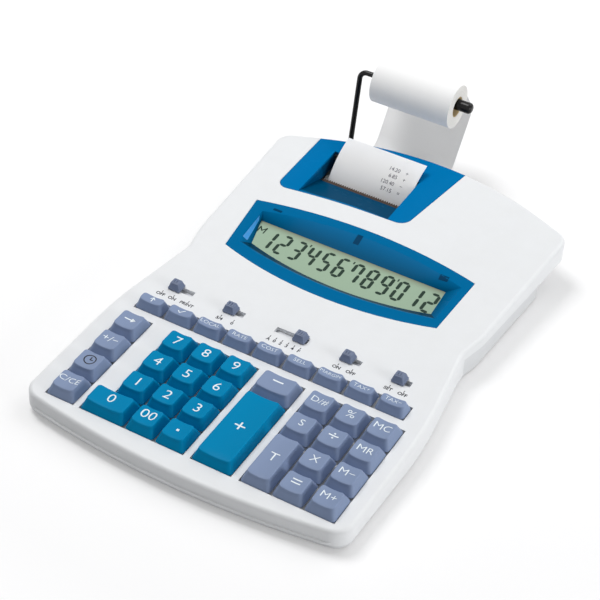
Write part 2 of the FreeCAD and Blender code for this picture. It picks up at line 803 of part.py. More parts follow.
cover_seat_depth = size("cover_thickness") + gap
cover_seat = on(HEAD, prism(cover_wire(size("cover_gap")), -cover_seat_depth, BEYOND))
inside = prism(grown(UPPER, -(wall + size("ledge_thickness"))), -BEYOND, WAIST_HEIGHT + BEYOND)
cover_hole = on(HEAD, prism(cover_wire(-size("ledge_width")), -BEYOND, BEYOND)).common(inside)
cheek_left = size("recess_left") - size("recess_wall")
cheek_right = size("recess_right") + size("recess_wall")
ramp_hole = on(HEAD, prism(cover_wire(size("cover_gap")), -BEYOND, BEYOND)).common(block(
    cheek_left - size("cover_gap"), cheek_right + size("cover_gap"),
    WAIST, at("chassis_rear_setback"), 0, 2 * BEYOND,
))
cover_ledge_low = -cover_seat_depth - size("ledge_thickness")
cover_ledge = on(HEAD, prism(cover_wire(size("ledge_thickness")), cover_ledge_low, -wall / 2))
cover_ledge = cover_ledge.common(prism(grown(UPPER, -wall / 2), 0, WAIST_HEIGHT + BEYOND))

reach = SIDE_HALF + BEYOND
undercut = block(-reach, reach, step, REAR + BEYOND, 0, size("head_parting"))
hollow = prism(grown(UPPER, -wall), -BEYOND, WAIST_HEIGHT + BEYOND).common(under_top(wall))
top_case = solid_top.cut([undercut, hollow])

well_walls = []
openings = []
for low_x, high_x, low_y, high_y in wells.values():
    side = size("plate_thickness")
    well_walls.append(on(DECK, block(
        low_x - side, high_x + side, low_y - side, high_y + side, -plate_under, -wall / 2,
    )))
    openings.append(on(DECK, block(low_x, high_x, low_y, high_y, -size("plate_depth"), BEYOND)))
half_hole = size("stem_size") / 2 + size("stem_clearance")
for x, y in stems:
    openings.append(on(DECK, block(
        x - half_hole, x + half_hole, y - half_hole, y + half_hole, -plate_under - OVER, 0,
    )))
half_slot = size("slot_width") / 2
row_place = size("switch_row")
for node, left_end, right_end, place in SWITCHES:
    openings.append(on(DECK, block(
        size(left_end), size(right_end), row_place - half_slot, row_place + half_slot, -2 * wall, BEYOND,
    )))

screw_places = [
    (side * half_less("screw_%s_inset" % row), at("screw_%s_setback" % row))
    for row in ("front", "middle", "rear") for side in (-1, 1)
]
screw_tip = size("screw_seat") + size("screw_length")
posts = []
pilots = []
for x, y in screw_places:
    whole_post = post(size("post_radius"), x, y, size("boss_top") + gap, WAIST_HEIGHT + BEYOND)
    posts.append(whole_post.common(solid_top))
    pilots.append(post(size("screw_radius") + size("wire_clearance"), x, y, 0, screw_tip + 4 * gap))
top_case = top_case.fuse(well_walls + [bezel_ledge, cover_ledge] + posts)
top_case = top_case.cut(openings + pilots + [bezel_seat, bezel_hole, cover_seat, cover_hole, ramp_hole])
feature("top_case", top_case)

# Printer cover: a plate that fills its seat, with a ramp down to the paper exit

cover_plate = on(HEAD, prism(cover_wire(), -size("cover_thickness"), BEYOND)).common(solid_top)
left, right = size("recess_left"), size("recess_right")
side_wall = size("recess_wall")
recess_corner = size("recess_front") - size("recess_corner_drop")
recess = on(HEAD, prism(outline([
    (left, recess_corner, 0),
    ((left + right) / 2, size("recess_front"), size("cover_bow_radius") / 2),
    (right, size("recess_front"), 0),
    (right, size("exit_end"), 0),
    (left, size("exit_end"), 0),
]), -BEYOND, BEYOND))
rise, drop, start, end = size("ramp_rise"), size("ramp_drop"), size("ramp_start"), size("ramp_end")
lead, exit_end = start - size("recess_corner_drop"), size("exit_end")
ramp = side_solid([
    (lead, -rise, 0), (start, -rise, 0), (end, -drop, 0),
    (end, -drop - side_wall, 0), (start, -rise - side_wall, 0), (lead, -rise - side_wall, 0),
], cheek_left, cheek_right)
cheek = [
    (lead, -rise, 0), (exit_end, -rise, 0), (exit_end, -drop - side_wall, 0),
    (end, -drop - side_wall, 0), (start, -rise - side_wall, 0), (lead, -rise - side_wall, 0),
]
cheeks = [side_solid(cheek, cheek_left, left), side_solid(cheek, right, cheek_right)]
under_cover = prism(cover_wire(), -BEYOND, 0)
cover = cover_plate.cut(recess).fuse([on(HEAD, ramp.fuse(cheeks).common(under_cover))])
feature("printer_cover", cover)

# Lower casing, its head walls set in under the rim of the upper one

lower_wall = wall + gap
shelf_top = size("head_parting") - gap
tongue_top = shelf_top + size("tongue_height")
deck_tongue = size("deck_parting") + size("tongue_height")
skirt = prism(
    grown(UPPER, -size("lower_inset")), size("floor_gap"), size("deck_parting") - size("parting_groove"),
)
low_edges = [edge for edge in skirt.Edges if edge.BoundBox.ZMax < size("floor_gap") + 1e-3]
skirt = skirt.makeFillet(size("bottom_edge_radius"), low_edges)
skirt = skirt.cut(block(-reach, reach, step - gap, REAR + BEYOND, 0, BEYOND))
walls = prism(grown(LOWER, -lower_wall), size("floor_gap"), shelf_top)
shelf = prism(grown(UPPER, -lower_wall), shelf_top - wall, tongue_top)
shelf = shelf.cut(block(-reach, reach, FRONT - BEYOND, step, 0, BEYOND))
walls = walls.cut(block(-reach, reach, FRONT - BEYOND, step, deck_tongue, BEYOND))
room = prism(grown(LOWER, -lower_wall - wall), FLOOR, tongue_top + OVER)
upper_room = prism(grown(UPPER, -lower_wall - wall), shelf_top, tongue_top + OVER)
paper_half = size("paper_width") / 2
paper_left, paper_right = size("paper_centre") - paper_half, size("paper_centre") + paper_half
feed_y, feed_z = at("feed_setback"), size("feed_height")
slot_middle = feed_z - size("feed_radius") + size("running_gap") * 2
paper_slot = block(
    paper_left - size("slot_side_gap"), paper_right + size("slot_side_gap"), feed_y, REAR + BEYOND,
    slot_middle - size("slot_height") / 2, slot_middle + size("slot_height") / 2,
)
board_posts = []
for side in (-1, 1):
    for row in ("front", "rear"):
        foot = DECK.multVec(Vector(side * half_less("board_post_margin"), size("board_post_" + row), 0))
        board_posts.append(post(size("board_post_radius"), foot.x, foot.y, FLOOR - gap, foot.z))
above_board = on(DECK, block(-reach, reach, -BEYOND, 2 * size("board_back"), -board_under, BEYOND))
board_posts = [item.cut(above_board) for item in board_posts]
bosses = [post(size("boss_radius"), x, y, FLOOR - gap, size("boss_top")) for x, y in screw_places]
shank_hole = size("screw_radius") + size("screw_hole_gap")
holes = [post(shank_hole, x, y, -OVER, BEYOND) for x, y in screw_places]
holes += [
    post(size("screw_head_radius") + 2 * gap, x, y, -OVER, size("screw_seat")) for x, y in screw_places
]
foot_places = [
    (side * half_less("foot_inset"), at(setback))
    for setback in ("foot_front_setback", "foot_rear_setback") for side in (-1, 1)
]
foot_height = size("floor_gap") + size("foot_recess")
foot_hole = size("foot_radius") + size("foot_clearance")
holes += [post(foot_hole, x, y, -OVER, foot_height) for x, y in foot_places]
arm_y, arm_z = at("arm_setback"), size("arm_height")
socket_radius = size("wire_radius") + size("wire_clearance")
socket_y = at("lower_turn_setback") - size("arm_socket_length")
holes.append(Part.makeCylinder(
    socket_radius, REAR, Vector(size("arm_offset"), socket_y, size("arm_socket_height")), Vector(0, 1, 0),
))
jack_z = FLOOR + size("jack_height") / 2
jack_y = at("jack_setback") - size("jack_length")
holes.append(Part.makeCylinder(
    size("jack_nose_radius") + size("running_gap"), REAR,
    Vector(size("jack_place"), jack_y, jack_z), Vector(0, 1, 0),
))
bottom_case = skirt.fuse([walls, shelf]).cut([room, upper_room])
bottom_case = bottom_case.fuse(bosses + board_posts).cut(holes + [paper_slot])
feature("bottom_case", bottom_case)

# Feet, screws and power inlet

feet = []
for i, (x, y) in enumerate(foot_places):
    foot = bound("Part::Cylinder", "foot_%d" % i, Radius="sizes.foot_radius",
                 Height="sizes.floor_gap + sizes.foot_recess")
    foot.Placement = Placement(Vector(x, y, 0), Rotation())
    feet.append(foot)
foot_set = doc.addObject("Part::Compound", "feet")
foot_set.Links = feet
keep("feet", foot_set)

screws = []
for i, (x, y) in enumerate(screw_places):
    head = bound("Part::Cylinder", "screw_head_%d" % i, Radius="sizes.screw_head_radius",
                 Height="sizes.screw_head_height")
    head.Placement = Placement(Vector(x, y, size("screw_seat") - size("screw_head_height")), Rotation())
    shank = bound("Part::Cylinder", "screw_shank_%d" % i, Radius="sizes.screw_radius",
                  Height="sizes.screw_length + sizes.screw_head_height / 2")
    shank.Placement = Placement(Vector(x, y, size("screw_seat") - size("screw_head_height") / 2), Rotation())
    screw = doc.addObject("Part::Fuse", "screw_%d" % i)
    screw.Base, screw.Tool = head, shank
    screws.append(screw)
screw_set = doc.addObject("Part::Compound", "screws")
screw_set.Links = screws
keep("screws", screw_set)

jack_body = bound("Part::Box", "jack_body", Length="sizes.jack_width", Width="sizes.jack_length",
                  Height="sizes.jack_height")
jack_left = size("jack_place") - size("jack_width") / 2
jack_body.Placement = Placement(Vector(jack_left, jack_y, FLOOR), Rotation())
jack_nose = bound("Part::Cylinder", "jack_nose", Radius="sizes.jack_nose_radius",
                  Height="sizes.jack_length + sizes.jack_nose_length")
jack_bore = bound("Part::Cylinder", "jack_bore", Radius="sizes.jack_bore",
                  Height="sizes.jack_depth + sizes.overcut")
backwards = Rotation(Vector(1, 0, 0), -90)
jack_nose.Placement = Placement(Vector(size("jack_place"), jack_y, jack_z), backwards)
jack_mouth = at("jack_setback") + size("jack_nose_length")
jack_bore.Placement = Placement(
    Vector(size("jack_place"), jack_mouth - size("jack_depth"), jack_z), backwards,
)
jack_solid = doc.addObject("Part::Fuse", "jack_solid")
jack_solid.Base, jack_solid.Tool = jack_body, jack_nose
power_jack = doc.addObject("Part::Cut", "power_jack")
power_jack.Base, power_jack.Tool = jack_solid, jack_bore
keep("power_jack", power_jack)

# Printer: chassis with its motor, feed roller, type drum and ink roller

plate = size("chassis_plate")
chassis_left, chassis_right = size("chassis_left"), size("chassis_right")
chassis_front, chassis_rear = at("chassis_front_setback"), at("chassis_rear_setback")
drum_y = feed_y - size("drum_distance")
ink_y = drum_y - size("drum_radius") - size("ink_radius") - size("roller_gap")
motor_y, motor_z = at("motor_setback"), FLOOR + plate + size("motor_radius")
motor_left, motor_right = size("motor_left"), size("motor_left") + size("motor_length")
chassis_top = FLOOR + size("chassis_height")
base_plate = block(chassis_left, motor_right, chassis_front, chassis_rear, FLOOR, FLOOR + plate)
sides = [
    block(x, x + plate, chassis_front, chassis_rear, FLOOR, chassis_top)
    for x in (chassis_left, chassis_right - plate)
]
bearing = size("shaft_radius") + size("shaft_clearance")
bearings = [
    rod(bearing, chassis_left - OVER, chassis_right + OVER, y, feed_z) for y in (feed_y, drum_y, ink_y)
]
frame = base_plate.fuse(sides).cut(bearings)
motor = rod(size("motor_radius"), motor_left, motor_right, motor_y, motor_z)
feature("printer_chassis", Part.makeCompound([frame.removeSplitter(), motor]))

shaft_left = chassis_left - size("shaft_end")
from_left = "- sizes.chassis_left + sizes.shaft_end"
span = "(sizes.chassis_right %s + sizes.shaft_end)" % from_left
start = "(sizes.recess_left + sizes.gear_gap %s)" % from_left
gear_end = "(%s + sizes.gear_width)" % start
tyre = "(sizes.paper_centre - sizes.paper_width / 2 + sizes.tyre_inset %s)" % from_left
tyre_end = "(sizes.paper_centre + sizes.paper_width / 2 - sizes.tyre_inset %s)" % from_left
spindle = "sizes.shaft_radius"
feed_roller = turned("feed_roller", [
    ("0", "0"), ("0", spindle), (start, spindle), (start, "sizes.gear_radius"),
    (gear_end, "sizes.gear_radius"), (gear_end, spindle), (tyre, spindle), (tyre, "sizes.feed_radius"),
    (tyre_end, "sizes.feed_radius"), (tyre_end, spindle), (span, spindle), (span, "0"),
])
keep("feed_roller", feed_roller, Placement(Vector(shaft_left, feed_y, feed_z), Rotation()))
type_drum = turned("type_drum", [
    ("0", "0"), ("0", spindle), (tyre, spindle), (tyre, "sizes.drum_radius"),
    (tyre_end, "sizes.drum_radius"), (tyre_end, spindle), (span, spindle), (span, "0"),
])
keep("type_drum", type_drum, Placement(Vector(shaft_left, drum_y, feed_z), Rotation()))
ink_roller = turned("ink_roller", [
    ("0", "0"), ("0", spindle), (tyre, spindle), (tyre, "sizes.ink_radius"),
    (tyre_end, "sizes.ink_radius"), (tyre_end, spindle), (span, spindle), (span, "0"),
])
keep("ink_roller", ink_roller, Placement(Vector(shaft_left, ink_y, feed_z), Rotation()))

# Paper roll on its spindle, and the strip that runs through the printer and curls out of the exit

roll_z = arm_z - (size("core_bore") - size("spindle_radius") - size("running_gap"))


def ring(name, outer, inner):
    whole = bound("Part::Cylinder", name + "_outer", Radius=outer, Height="sizes.paper_width")
    bore = bound("Part::Cylinder", name + "_bore", Radius=inner, Height="sizes.paper_width")
    cut = doc.addObject("Part::Cut", name)
    cut.Base, cut.Tool = whole, bore
    return cut


roll = doc.addObject("Part::Compound", "paper_roll")
roll.Links = [
    ring("winding", "sizes.roll_radius", "sizes.core_radius"),
    ring("core", "sizes.core_radius", "sizes.core_bore"),
]
sideways = Rotation(Vector(0, 1, 0), 90)
keep("paper_roll", roll, Placement(Vector(paper_left, arm_y, roll_z), sideways))

half_sheet = size("paper_thickness") / 2
wrap = size("feed_radius") + size("paper_gap") + half_sheet
under_feed = feed_z - wrap
leave = math.radians(size("exit_angle"))
lift = Vector(math.cos(leave), math.sin(leave), 0)
tangent = Vector(feed_y - wrap * lift.y, feed_z + wrap * lift.x, 0)
turn_point = tangent - lift * ((tangent.y - under_feed) / lift.y)
crest = tangent + lift * ((size("curl_height") - tangent.y) / lift.y)
lie = math.radians(size("curl_end_angle"))
tail = crest + Vector(math.cos(lie), math.sin(lie), 0) * size("curl_tail")
outside = arm_y + size("roll_radius") + size("paper_gap") + half_sheet
web = [
    (Vector(outside, roll_z, 0), 0),
    (Vector(arm_y + size("belly_reach"), roll_z - size("belly_drop"), 0), size("belly_radius")),
    (Vector(arm_y + size("turn_reach"), feed_z - size("turn_drop"), 0), size("turn_radius")),
    (Vector(feed_y + size("guide_reach"), feed_z - size("guide_drop"), 0), size("guide_radius")),
    (Vector(feed_y + size("entry_reach"), under_feed, 0), size("guide_radius")),
    (turn_point, wrap),
    (crest, size("curl_radius")),
    (tail, 0),
]


def strip(path, half, x0, x1):
    """Thin sheet that follows a bent path in side view."""
    points = [point for point, radius in path]
    sides = ([], [])
    for i, (point, radius) in enumerate(path):
        before = (point - points[i - 1]).normalize() if i else None
        after = (points[i + 1] - point).normalize() if i < len(path) - 1 else None
        along = (before or after) + (after or before)
        square = Vector(-along.y, along.x, 0).normalize()
        lean = abs(square.dot(Vector(-(before or after).y, (before or after).x, 0)))
        turning = before.cross(after).z if before and after else 0.0
        for side, sign in zip(sides, (1, -1)):
            bend = radius - sign * half * (1 if turning > 0 else -1) if radius else 0.0
            offset = point + square * (sign * half / lean)
            side.append((offset.x, offset.y, bend))
    return side_solid(sides[0] + sides[1][::-1], x0, x1)


feature("paper_tape", strip(web, half_sheet, paper_left, paper_right))

# Wire arm: socket leg, upright, and the top leg inside a plastic spindle

arm_x = size("arm_offset")
arm_foot = Vector(arm_x, arm_y - size("arm_lean"), size("arm_socket_height"))
arm_path = [
    Vector(arm_x, socket_y, size("arm_socket_height")), arm_foot, Vector(arm_x, arm_y, arm_z),
    Vector(size("spindle_right") - 4 * size("wire_radius"), arm_y, arm_z),
]
bend = size("wire_bend")
arm_wire = Part.Wire(tangent_edges(arm_path, [0, bend, bend, 0], closed=False))
circle = Part.Wire(Part.Circle(arm_path[0], Vector(0, 1, 0), size("wire_radius")).toShape())
wire = arm_wire.makePipeShell([circle], True, False)
sleeve = rod(size("spindle_radius"), size("spindle_left"), size("spindle_right"), arm_y, arm_z)
tip = [
    edge for edge in sleeve.Edges
    if edge.BoundBox.XLength < 1e-3 and edge.BoundBox.XMin > size("spindle_right") - 1e-3
]
sleeve = sleeve.makeFillet(size("spindle_tip"), tip)
collar_right = size("spindle_left") + size("collar_width")
collar = rod(size("collar_radius"), size("spindle_left"), collar_right, arm_y, arm_z)
sleeve = sleeve.fuse(collar).cut(rod(
    size("wire_radius") + size("wire_clearance"), size("spindle_left") - OVER,
    arm_path[-1].x + size("wire_clearance"), arm_y, arm_z,
))
feature("roll_arm", Part.makeCompound([wire, sleeve.removeSplitter()]))

doc.recompute()
faults = [obj.Name for obj in doc.Objects if "Invalid" in obj.State or "Error" in obj.State]
for node, obj in parts.items():
    shape = obj.Shape
    if shape.isNull() or not shape.isValid() or not shape.Solids:
        faults.append(node)
if faults:
    raise RuntimeError("not sound: " + ", ".join(faults))
os.makedirs("parts", exist_ok=True)
for node, obj in parts.items():
    obj.Shape.exportStep("parts/%s.step" % node)
print(len(parts), "parts")
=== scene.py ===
"""Printing desktop calculator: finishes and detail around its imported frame. Metres, +Z up."""

import math

import bmesh
import bpy
from mathutils import Matrix, Vector
from mathutils.bvhtree import BVHTree


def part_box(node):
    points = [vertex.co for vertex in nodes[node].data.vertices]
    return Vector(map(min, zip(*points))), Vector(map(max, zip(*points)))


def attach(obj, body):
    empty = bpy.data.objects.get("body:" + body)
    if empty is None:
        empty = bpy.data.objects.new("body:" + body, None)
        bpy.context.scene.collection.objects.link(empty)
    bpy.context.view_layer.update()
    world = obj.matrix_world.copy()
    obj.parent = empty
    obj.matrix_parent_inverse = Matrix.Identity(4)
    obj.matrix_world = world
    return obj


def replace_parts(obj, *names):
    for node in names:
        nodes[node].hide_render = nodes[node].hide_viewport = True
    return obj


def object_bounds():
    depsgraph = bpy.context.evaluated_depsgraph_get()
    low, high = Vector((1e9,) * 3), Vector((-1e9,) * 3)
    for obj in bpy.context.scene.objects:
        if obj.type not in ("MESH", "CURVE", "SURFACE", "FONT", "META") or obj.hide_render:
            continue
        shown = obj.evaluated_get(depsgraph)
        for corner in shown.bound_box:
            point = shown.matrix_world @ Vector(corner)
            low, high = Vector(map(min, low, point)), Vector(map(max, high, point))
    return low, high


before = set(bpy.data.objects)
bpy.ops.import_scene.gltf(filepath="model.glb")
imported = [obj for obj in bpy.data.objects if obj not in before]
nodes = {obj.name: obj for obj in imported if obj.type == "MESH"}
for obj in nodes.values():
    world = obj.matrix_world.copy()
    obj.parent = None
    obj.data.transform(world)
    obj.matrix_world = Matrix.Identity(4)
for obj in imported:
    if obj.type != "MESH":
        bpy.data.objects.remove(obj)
cad_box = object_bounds()

MM = 0.001

# The two sloping tops. On each, u runs across, v up the slope and w square to it.

DECK_TILT = 3.0
HEAD_TILT = 3.91
KEY_HEIGHT = 6.2 * MM
BEZEL_FRONT = 0.4 * MM


def tilted(degrees):
    return Matrix.Rotation(math.radians(degrees), 4, "X")


def local_span(node, turn):
    """Lowest and highest corner of a node, measured along the axes of a turned frame."""
    back = turn.inverted()
    points = [back @ vertex.co for vertex in nodes[node].data.vertices]
    low = Vector([min(point[i] for point in points) for i in range(3)])
    high = Vector([max(point[i] for point in points) for i in range(3)])
    return low, high


def deck_frame():
    """Zero at the middle of the first row of keys, on the deck."""
    turn = tilted(DECK_TILT)
    low, high = local_span("key_00", turn)
    return turn @ Matrix.Translation((0, (low.y + high.y) / 2, high.z - KEY_HEIGHT))


def head_frame():
    """Zero at the waist, on the head, which the display bezel lies flush with."""
    turn = tilted(HEAD_TILT)
    low, high = local_span("display_bezel", turn)
    return turn @ Matrix.Translation((0, low.y - BEZEL_FRONT, high.z))


DECK = deck_frame()
HEAD = head_frame()

# Colours as they look on a screen, turned into the linear values that the shaders take


def tone(red, green, blue):
    def linear(channel):
        value = channel / 255
        return value / 12.92 if value <= 0.04045 else ((value + 0.055) / 1.055) ** 2.4

    return (linear(red), linear(green), linear(blue), 1.0)


# Shader node helpers


class Nodes:
    """Short calls for building a node tree."""

    def __init__(self, tree):
        self.tree = tree
        tree.nodes.clear()

    def add(self, kind, inputs=None, **settings):
        node = self.tree.nodes.new(kind)
        for name, value in settings.items():
            setattr(node, name, value)
        for name, value in (inputs or {}).items():
            self.feed(node, name, value)
        return node

    def feed(self, node, name, value):
        socket = node.inputs[name]
        if isinstance(value, bpy.types.NodeSocket):
            self.tree.links.new(value, socket)
        else:
            socket.default_value = value

    def math(self, operation, first, second=0.0, clamp=False):
        node = self.add("ShaderNodeMath", {0: first, 1: second}, operation=operation, use_clamp=clamp)
        return node.outputs[0]

    def product(self, first, *others):
        for other in others:
            first = self.math("MULTIPLY", first, other)
        return first

    def vector(self, operation, *values, output="Vector"):
        node = self.add("ShaderNodeVectorMath", dict(enumerate(values)), operation=operation)
        return node.outputs[output]

    def object_place(self):
        return self.add("ShaderNodeTexCoord").outputs["Object"]

    def mix(self, factor, first, second):
        node = self.add("ShaderNodeMix", data_type="RGBA")
        self.feed(node, 0, factor)
        self.feed(node, 6, first)
        self.feed(node, 7, second)
        return node.outputs[2]

    def noise(self, vector, scale, detail=2.0, roughness=0.5):
        inputs = {"Vector": vector, "Scale": scale, "Detail": detail, "Roughness": roughness}
        return self.add("ShaderNodeTexNoise", inputs).outputs["Fac"]

    def spread(self, value, low, high, to_low, to_high):
        inputs = {0: value, 1: low, 2: high, 3: to_low, 4: to_high}
        return self.add("ShaderNodeMapRange", inputs).outputs[0]

    def place(self, shared, **inputs):
        node = self.add("ShaderNodeGroup", node_tree=shared)
        for name, value in inputs.items():
            self.feed(node, name.replace("_", " "), value)
        return node


def shared_effect(name, inputs, outputs):
    """Empty node group with named sockets, its nodes, and its two ends."""
    tree = bpy.data.node_groups.new(name, "ShaderNodeTree")
    for label, kind, value in inputs:
        socket = tree.interface.new_socket(name=label, in_out="INPUT", socket_type=kind)
        socket.default_value = value
    for label, kind in outputs:
        tree.interface.new_socket(name=label, in_out="OUTPUT", socket_type=kind)
    made = Nodes(tree)
    return tree, made, made.add("NodeGroupInput"), made.add("NodeGroupOutput")


NUMBER, COLOUR = "NodeSocketFloat", "NodeSocketColor"
CLOUD_SCALE, SMUDGE_SCALE = 28.0, 190.0
EDGE_BEND, PATCH_SCALE = 0.52, 420.0
DUST_SCALE = 65.0


def moulded_grain():
    """Fine texture of a mould, with slow changes of gloss and shade across the piece."""
    tree, n, start, end = shared_effect(
        "moulded_grain",
        [("Colour", COLOUR, (0.8, 0.8, 0.8, 1)), ("Fineness", NUMBER, 2200.0), ("Relief", NUMBER, 0.3),
         ("Roughness", NUMBER, 0.4), ("Unevenness", NUMBER, 0.06), ("Shade", NUMBER, 0.03)],
        [("Colour", COLOUR), ("Roughness", NUMBER), ("Height", NUMBER)],
    )
    place = n.object_place()
    fine = n.noise(place, start.outputs["Fineness"], 3.0, 0.6)
    slow = n.noise(place, CLOUD_SCALE, 3.0, 0.55)
    smudge = n.noise(place, SMUDGE_SCALE, 4.0, 0.6)
    both = n.math("ADD", n.product(slow, 0.6), n.product(smudge, 0.4))
    centred = n.math("SUBTRACT", both, 0.5)
    shade = n.math("MULTIPLY_ADD", centred, start.outputs["Shade"])
    shade.node.inputs[2].default_value = 1.0
    tinted = n.add("ShaderNodeVectorMath", {0: start.outputs["Colour"]}, operation="SCALE")
    n.feed(tinted, "Scale", shade)
    n.feed(end, "Colour", tinted.outputs[0])
    gloss = n.product(start.outputs["Unevenness"], 3.0, centred)
    n.feed(end, "Roughness", n.math("ADD", gloss, start.outputs["Roughness"], clamp=True))
    n.feed(end, "Height", n.product(fine, start.outputs["Relief"]))
    return tree


def rubbed_edges():
    """Mask of outer edges, broken up in patches: partly handling wear, partly a painted highlight where
    edges catch the light.
    """
    tree, n, start, end = shared_effect(
        "rubbed_edges", [("Reach", NUMBER, 0.06), ("Strength", NUMBER, 0.5)], [("Mask", NUMBER)],
    )
    place = n.object_place()
    bend = n.add("ShaderNodeNewGeometry").outputs["Pointiness"]
    edge = n.spread(n.math("SUBTRACT", bend, EDGE_BEND), 0.0, start.outputs["Reach"], 0.0, 1.0)
    patchy = n.spread(n.noise(place, PATCH_SCALE, 4.0, 0.65), 0.3, 0.7, 0.25, 1.0)
    n.feed(end, "Mask", n.product(edge, patchy, start.outputs["Strength"]))
    return tree


def settled_dust():
    """Mask of thin dust that lies on what faces up."""
    tree, n, start, end = shared_effect("settled_dust", [("Amount", NUMBER, 0.1)], [("Mask", NUMBER)])
    place = n.object_place()
    facing = n.add("ShaderNodeSeparateXYZ", {0: n.add("ShaderNodeNewGeometry").outputs["Normal"]})
    up = n.spread(facing.outputs["Z"], 0.4, 1.0, 0.0, 1.0)
    cloud = n.spread(n.noise(place, DUST_SCALE, 6.0, 0.6), 0.35, 0.75, 0.0, 1.0)
    n.feed(end, "Mask", n.product(up, cloud, start.outputs["Amount"]))
    return tree


GRAIN = moulded_grain()
EDGE_WEAR_AND_SHEEN = rubbed_edges()
DUST = settled_dust()


def new_material(name):
    made = bpy.data.materials.new(name)
    made.use_nodes = True
    return made, Nodes(made.node_tree)


def principled(n, base, grain, normal, **constants):
    """Principled shader on the material's output, with the grain's roughness and plain values by name."""
    shader = n.add("ShaderNodeBsdfPrincipled", {"Base Color": base, "Normal": normal})
    n.feed(shader, "Roughness", grain.outputs["Roughness"])
    for name, value in constants.items():
        n.feed(shader, name.replace("_", " "), value)
    n.add("ShaderNodeOutputMaterial", {"Surface": shader.outputs[0]})


def bumped(n, height, depth, strength=0.5):
    node = n.add("ShaderNodeBump", {"Height": height, "Distance": depth, "Strength": strength})
    return node.outputs[0]


def height_along(n, frame_matrix):
    """Height of a surface point above the plane of a turned frame."""
    upright = frame_matrix.to_3x3().col[2]
    place = n.object_place()
    reach = n.vector("DOT_PRODUCT", place, upright, output="Value")
    return n.math("SUBTRACT", reach, frame_matrix.translation.dot(upright))


def plastic(name, colour, roughness, fineness=2200.0, depth=0.02, wear_and_sheen=0.15, dust=0.0, coat=0.0,
            shade=0.05, gloss=0.3):
    """Moulded plastic: grain this many millimetres deep, edges paler from wear and from a painted
    highlight, dust and polish.
    """
    made, n = new_material(name)
    colour = tone(*colour)
    grain = n.place(GRAIN, Colour=colour, Fineness=fineness, Relief=1.0, Roughness=roughness, Shade=shade)
    edge_mask = n.place(EDGE_WEAR_AND_SHEEN, Strength=wear_and_sheen)
    # Paler edges: partly wear, partly a painted highlight where they catch the light
    pale = tuple(0.75 * channel + 0.25 for channel in colour[:3]) + (1.0,)
    base = n.mix(edge_mask.outputs["Mask"], grain.outputs["Colour"], pale)
    if dust:
        cover = n.place(DUST, Amount=dust)
        base = n.mix(cover.outputs["Mask"], base, tone(205, 203, 198))
    principled(
        n, base, grain, bumped(n, grain.outputs["Height"], depth * MM),
        IOR=1.47, Specular_IOR_Level=gloss, Coat_Weight=coat, Coat_Roughness=0.12,
    )
    return made


CLEAR_SKIN = 0.3 * MM
CLEAR_SHINE = 0.012
TURN_START, TURN_FULL, AWAY_FULL = 0.12, 0.45, 0.35


def clear_blue(name, colour, recess_shade, reach, turned_shade):
    """Tinted clear plastic, with painted shade: darker down into the case, and darkest on walls that turn
    from the front.
    """
    made, n = new_material(name)
    # Painted shade: the colour darkens below the head's surface, as a recess is shaded
    depth = n.spread(height_along(n, HEAD), -CLEAR_SKIN, -reach, 0.0, 1.0)
    normal = n.add("ShaderNodeNewGeometry").outputs["Normal"]
    rearward = n.vector("DOT_PRODUCT", normal, HEAD.to_3x3().col[1], output="Value")
    # Painted shade: walls that turn from the front darken further
    away = n.product(n.spread(rearward, TURN_START, TURN_FULL, 0.0, 1.0), depth)
    away = n.spread(away, 0.0, AWAY_FULL, 0.0, 1.0)
    tint = n.mix(away, n.mix(depth, tone(*colour), tone(*recess_shade)), tone(*turned_shade))
    grain = n.place(GRAIN, Colour=tint, Relief=1.0, Roughness=0.26, Shade=0.1)
    # Painted highlight: edges go faintly pale blue, as where they catch the light
    edge_mask = n.place(EDGE_WEAR_AND_SHEEN, Strength=CLEAR_SHINE)
    base = n.mix(edge_mask.outputs["Mask"], grain.outputs["Colour"], tone(120, 180, 220))
    relief = bumped(n, grain.outputs["Height"], 0.006 * MM)
    principled(n, base, grain, relief, IOR=1.47, Specular_IOR_Level=CLEAR_SHINE)
    return made


LINES_ACROSS, LINES_ALONG = 2600.0, 80.0


def metal(name, colour, roughness, along=(1, 0, 0)):
    """Rolled or drawn metal, its lines running one way."""
    made, n = new_material(name)
    place = n.object_place()
    stretch = Vector((1, 1, 1)) * LINES_ACROSS - Vector(along) * (LINES_ACROSS - LINES_ALONG)
    lines = n.noise(n.vector("MULTIPLY", place, stretch), 1.0, 3.0, 0.6)
    grain = n.place(GRAIN, Colour=tone(*colour), Roughness=roughness, Unevenness=0.12, Shade=0.15)
    principled(n, grain.outputs["Colour"], grain, bumped(n, lines, 0.01 * MM), Metallic=1.0)
    return made


def paper(name, colour, through=0.0):
    """Matt paper with short fibres and a faint cloudiness. Light comes through a single sheet."""
    made, n = new_material(name)
    place = n.object_place()
    fibres = n.noise(place, 3800.0, 5.0, 0.7)
    grain = n.place(
        GRAIN, Colour=tone(*colour), Fineness=1400.0, Roughness=0.85, Unevenness=0.03, Shade=0.03,
    )
    height = n.math("ADD", fibres, grain.outputs["Height"])
    principled(
        n, grain.outputs["Colour"], grain, bumped(n, height, 0.015 * MM, 0.4),
        IOR=1.35, Specular_IOR_Level=0.25, Subsurface_Weight=through, Subsurface_Scale=2 * MM,
        Subsurface_Radius=(1.0, 1.0, 1.0),
    )
    return made


RING_SCALE = 5200.0


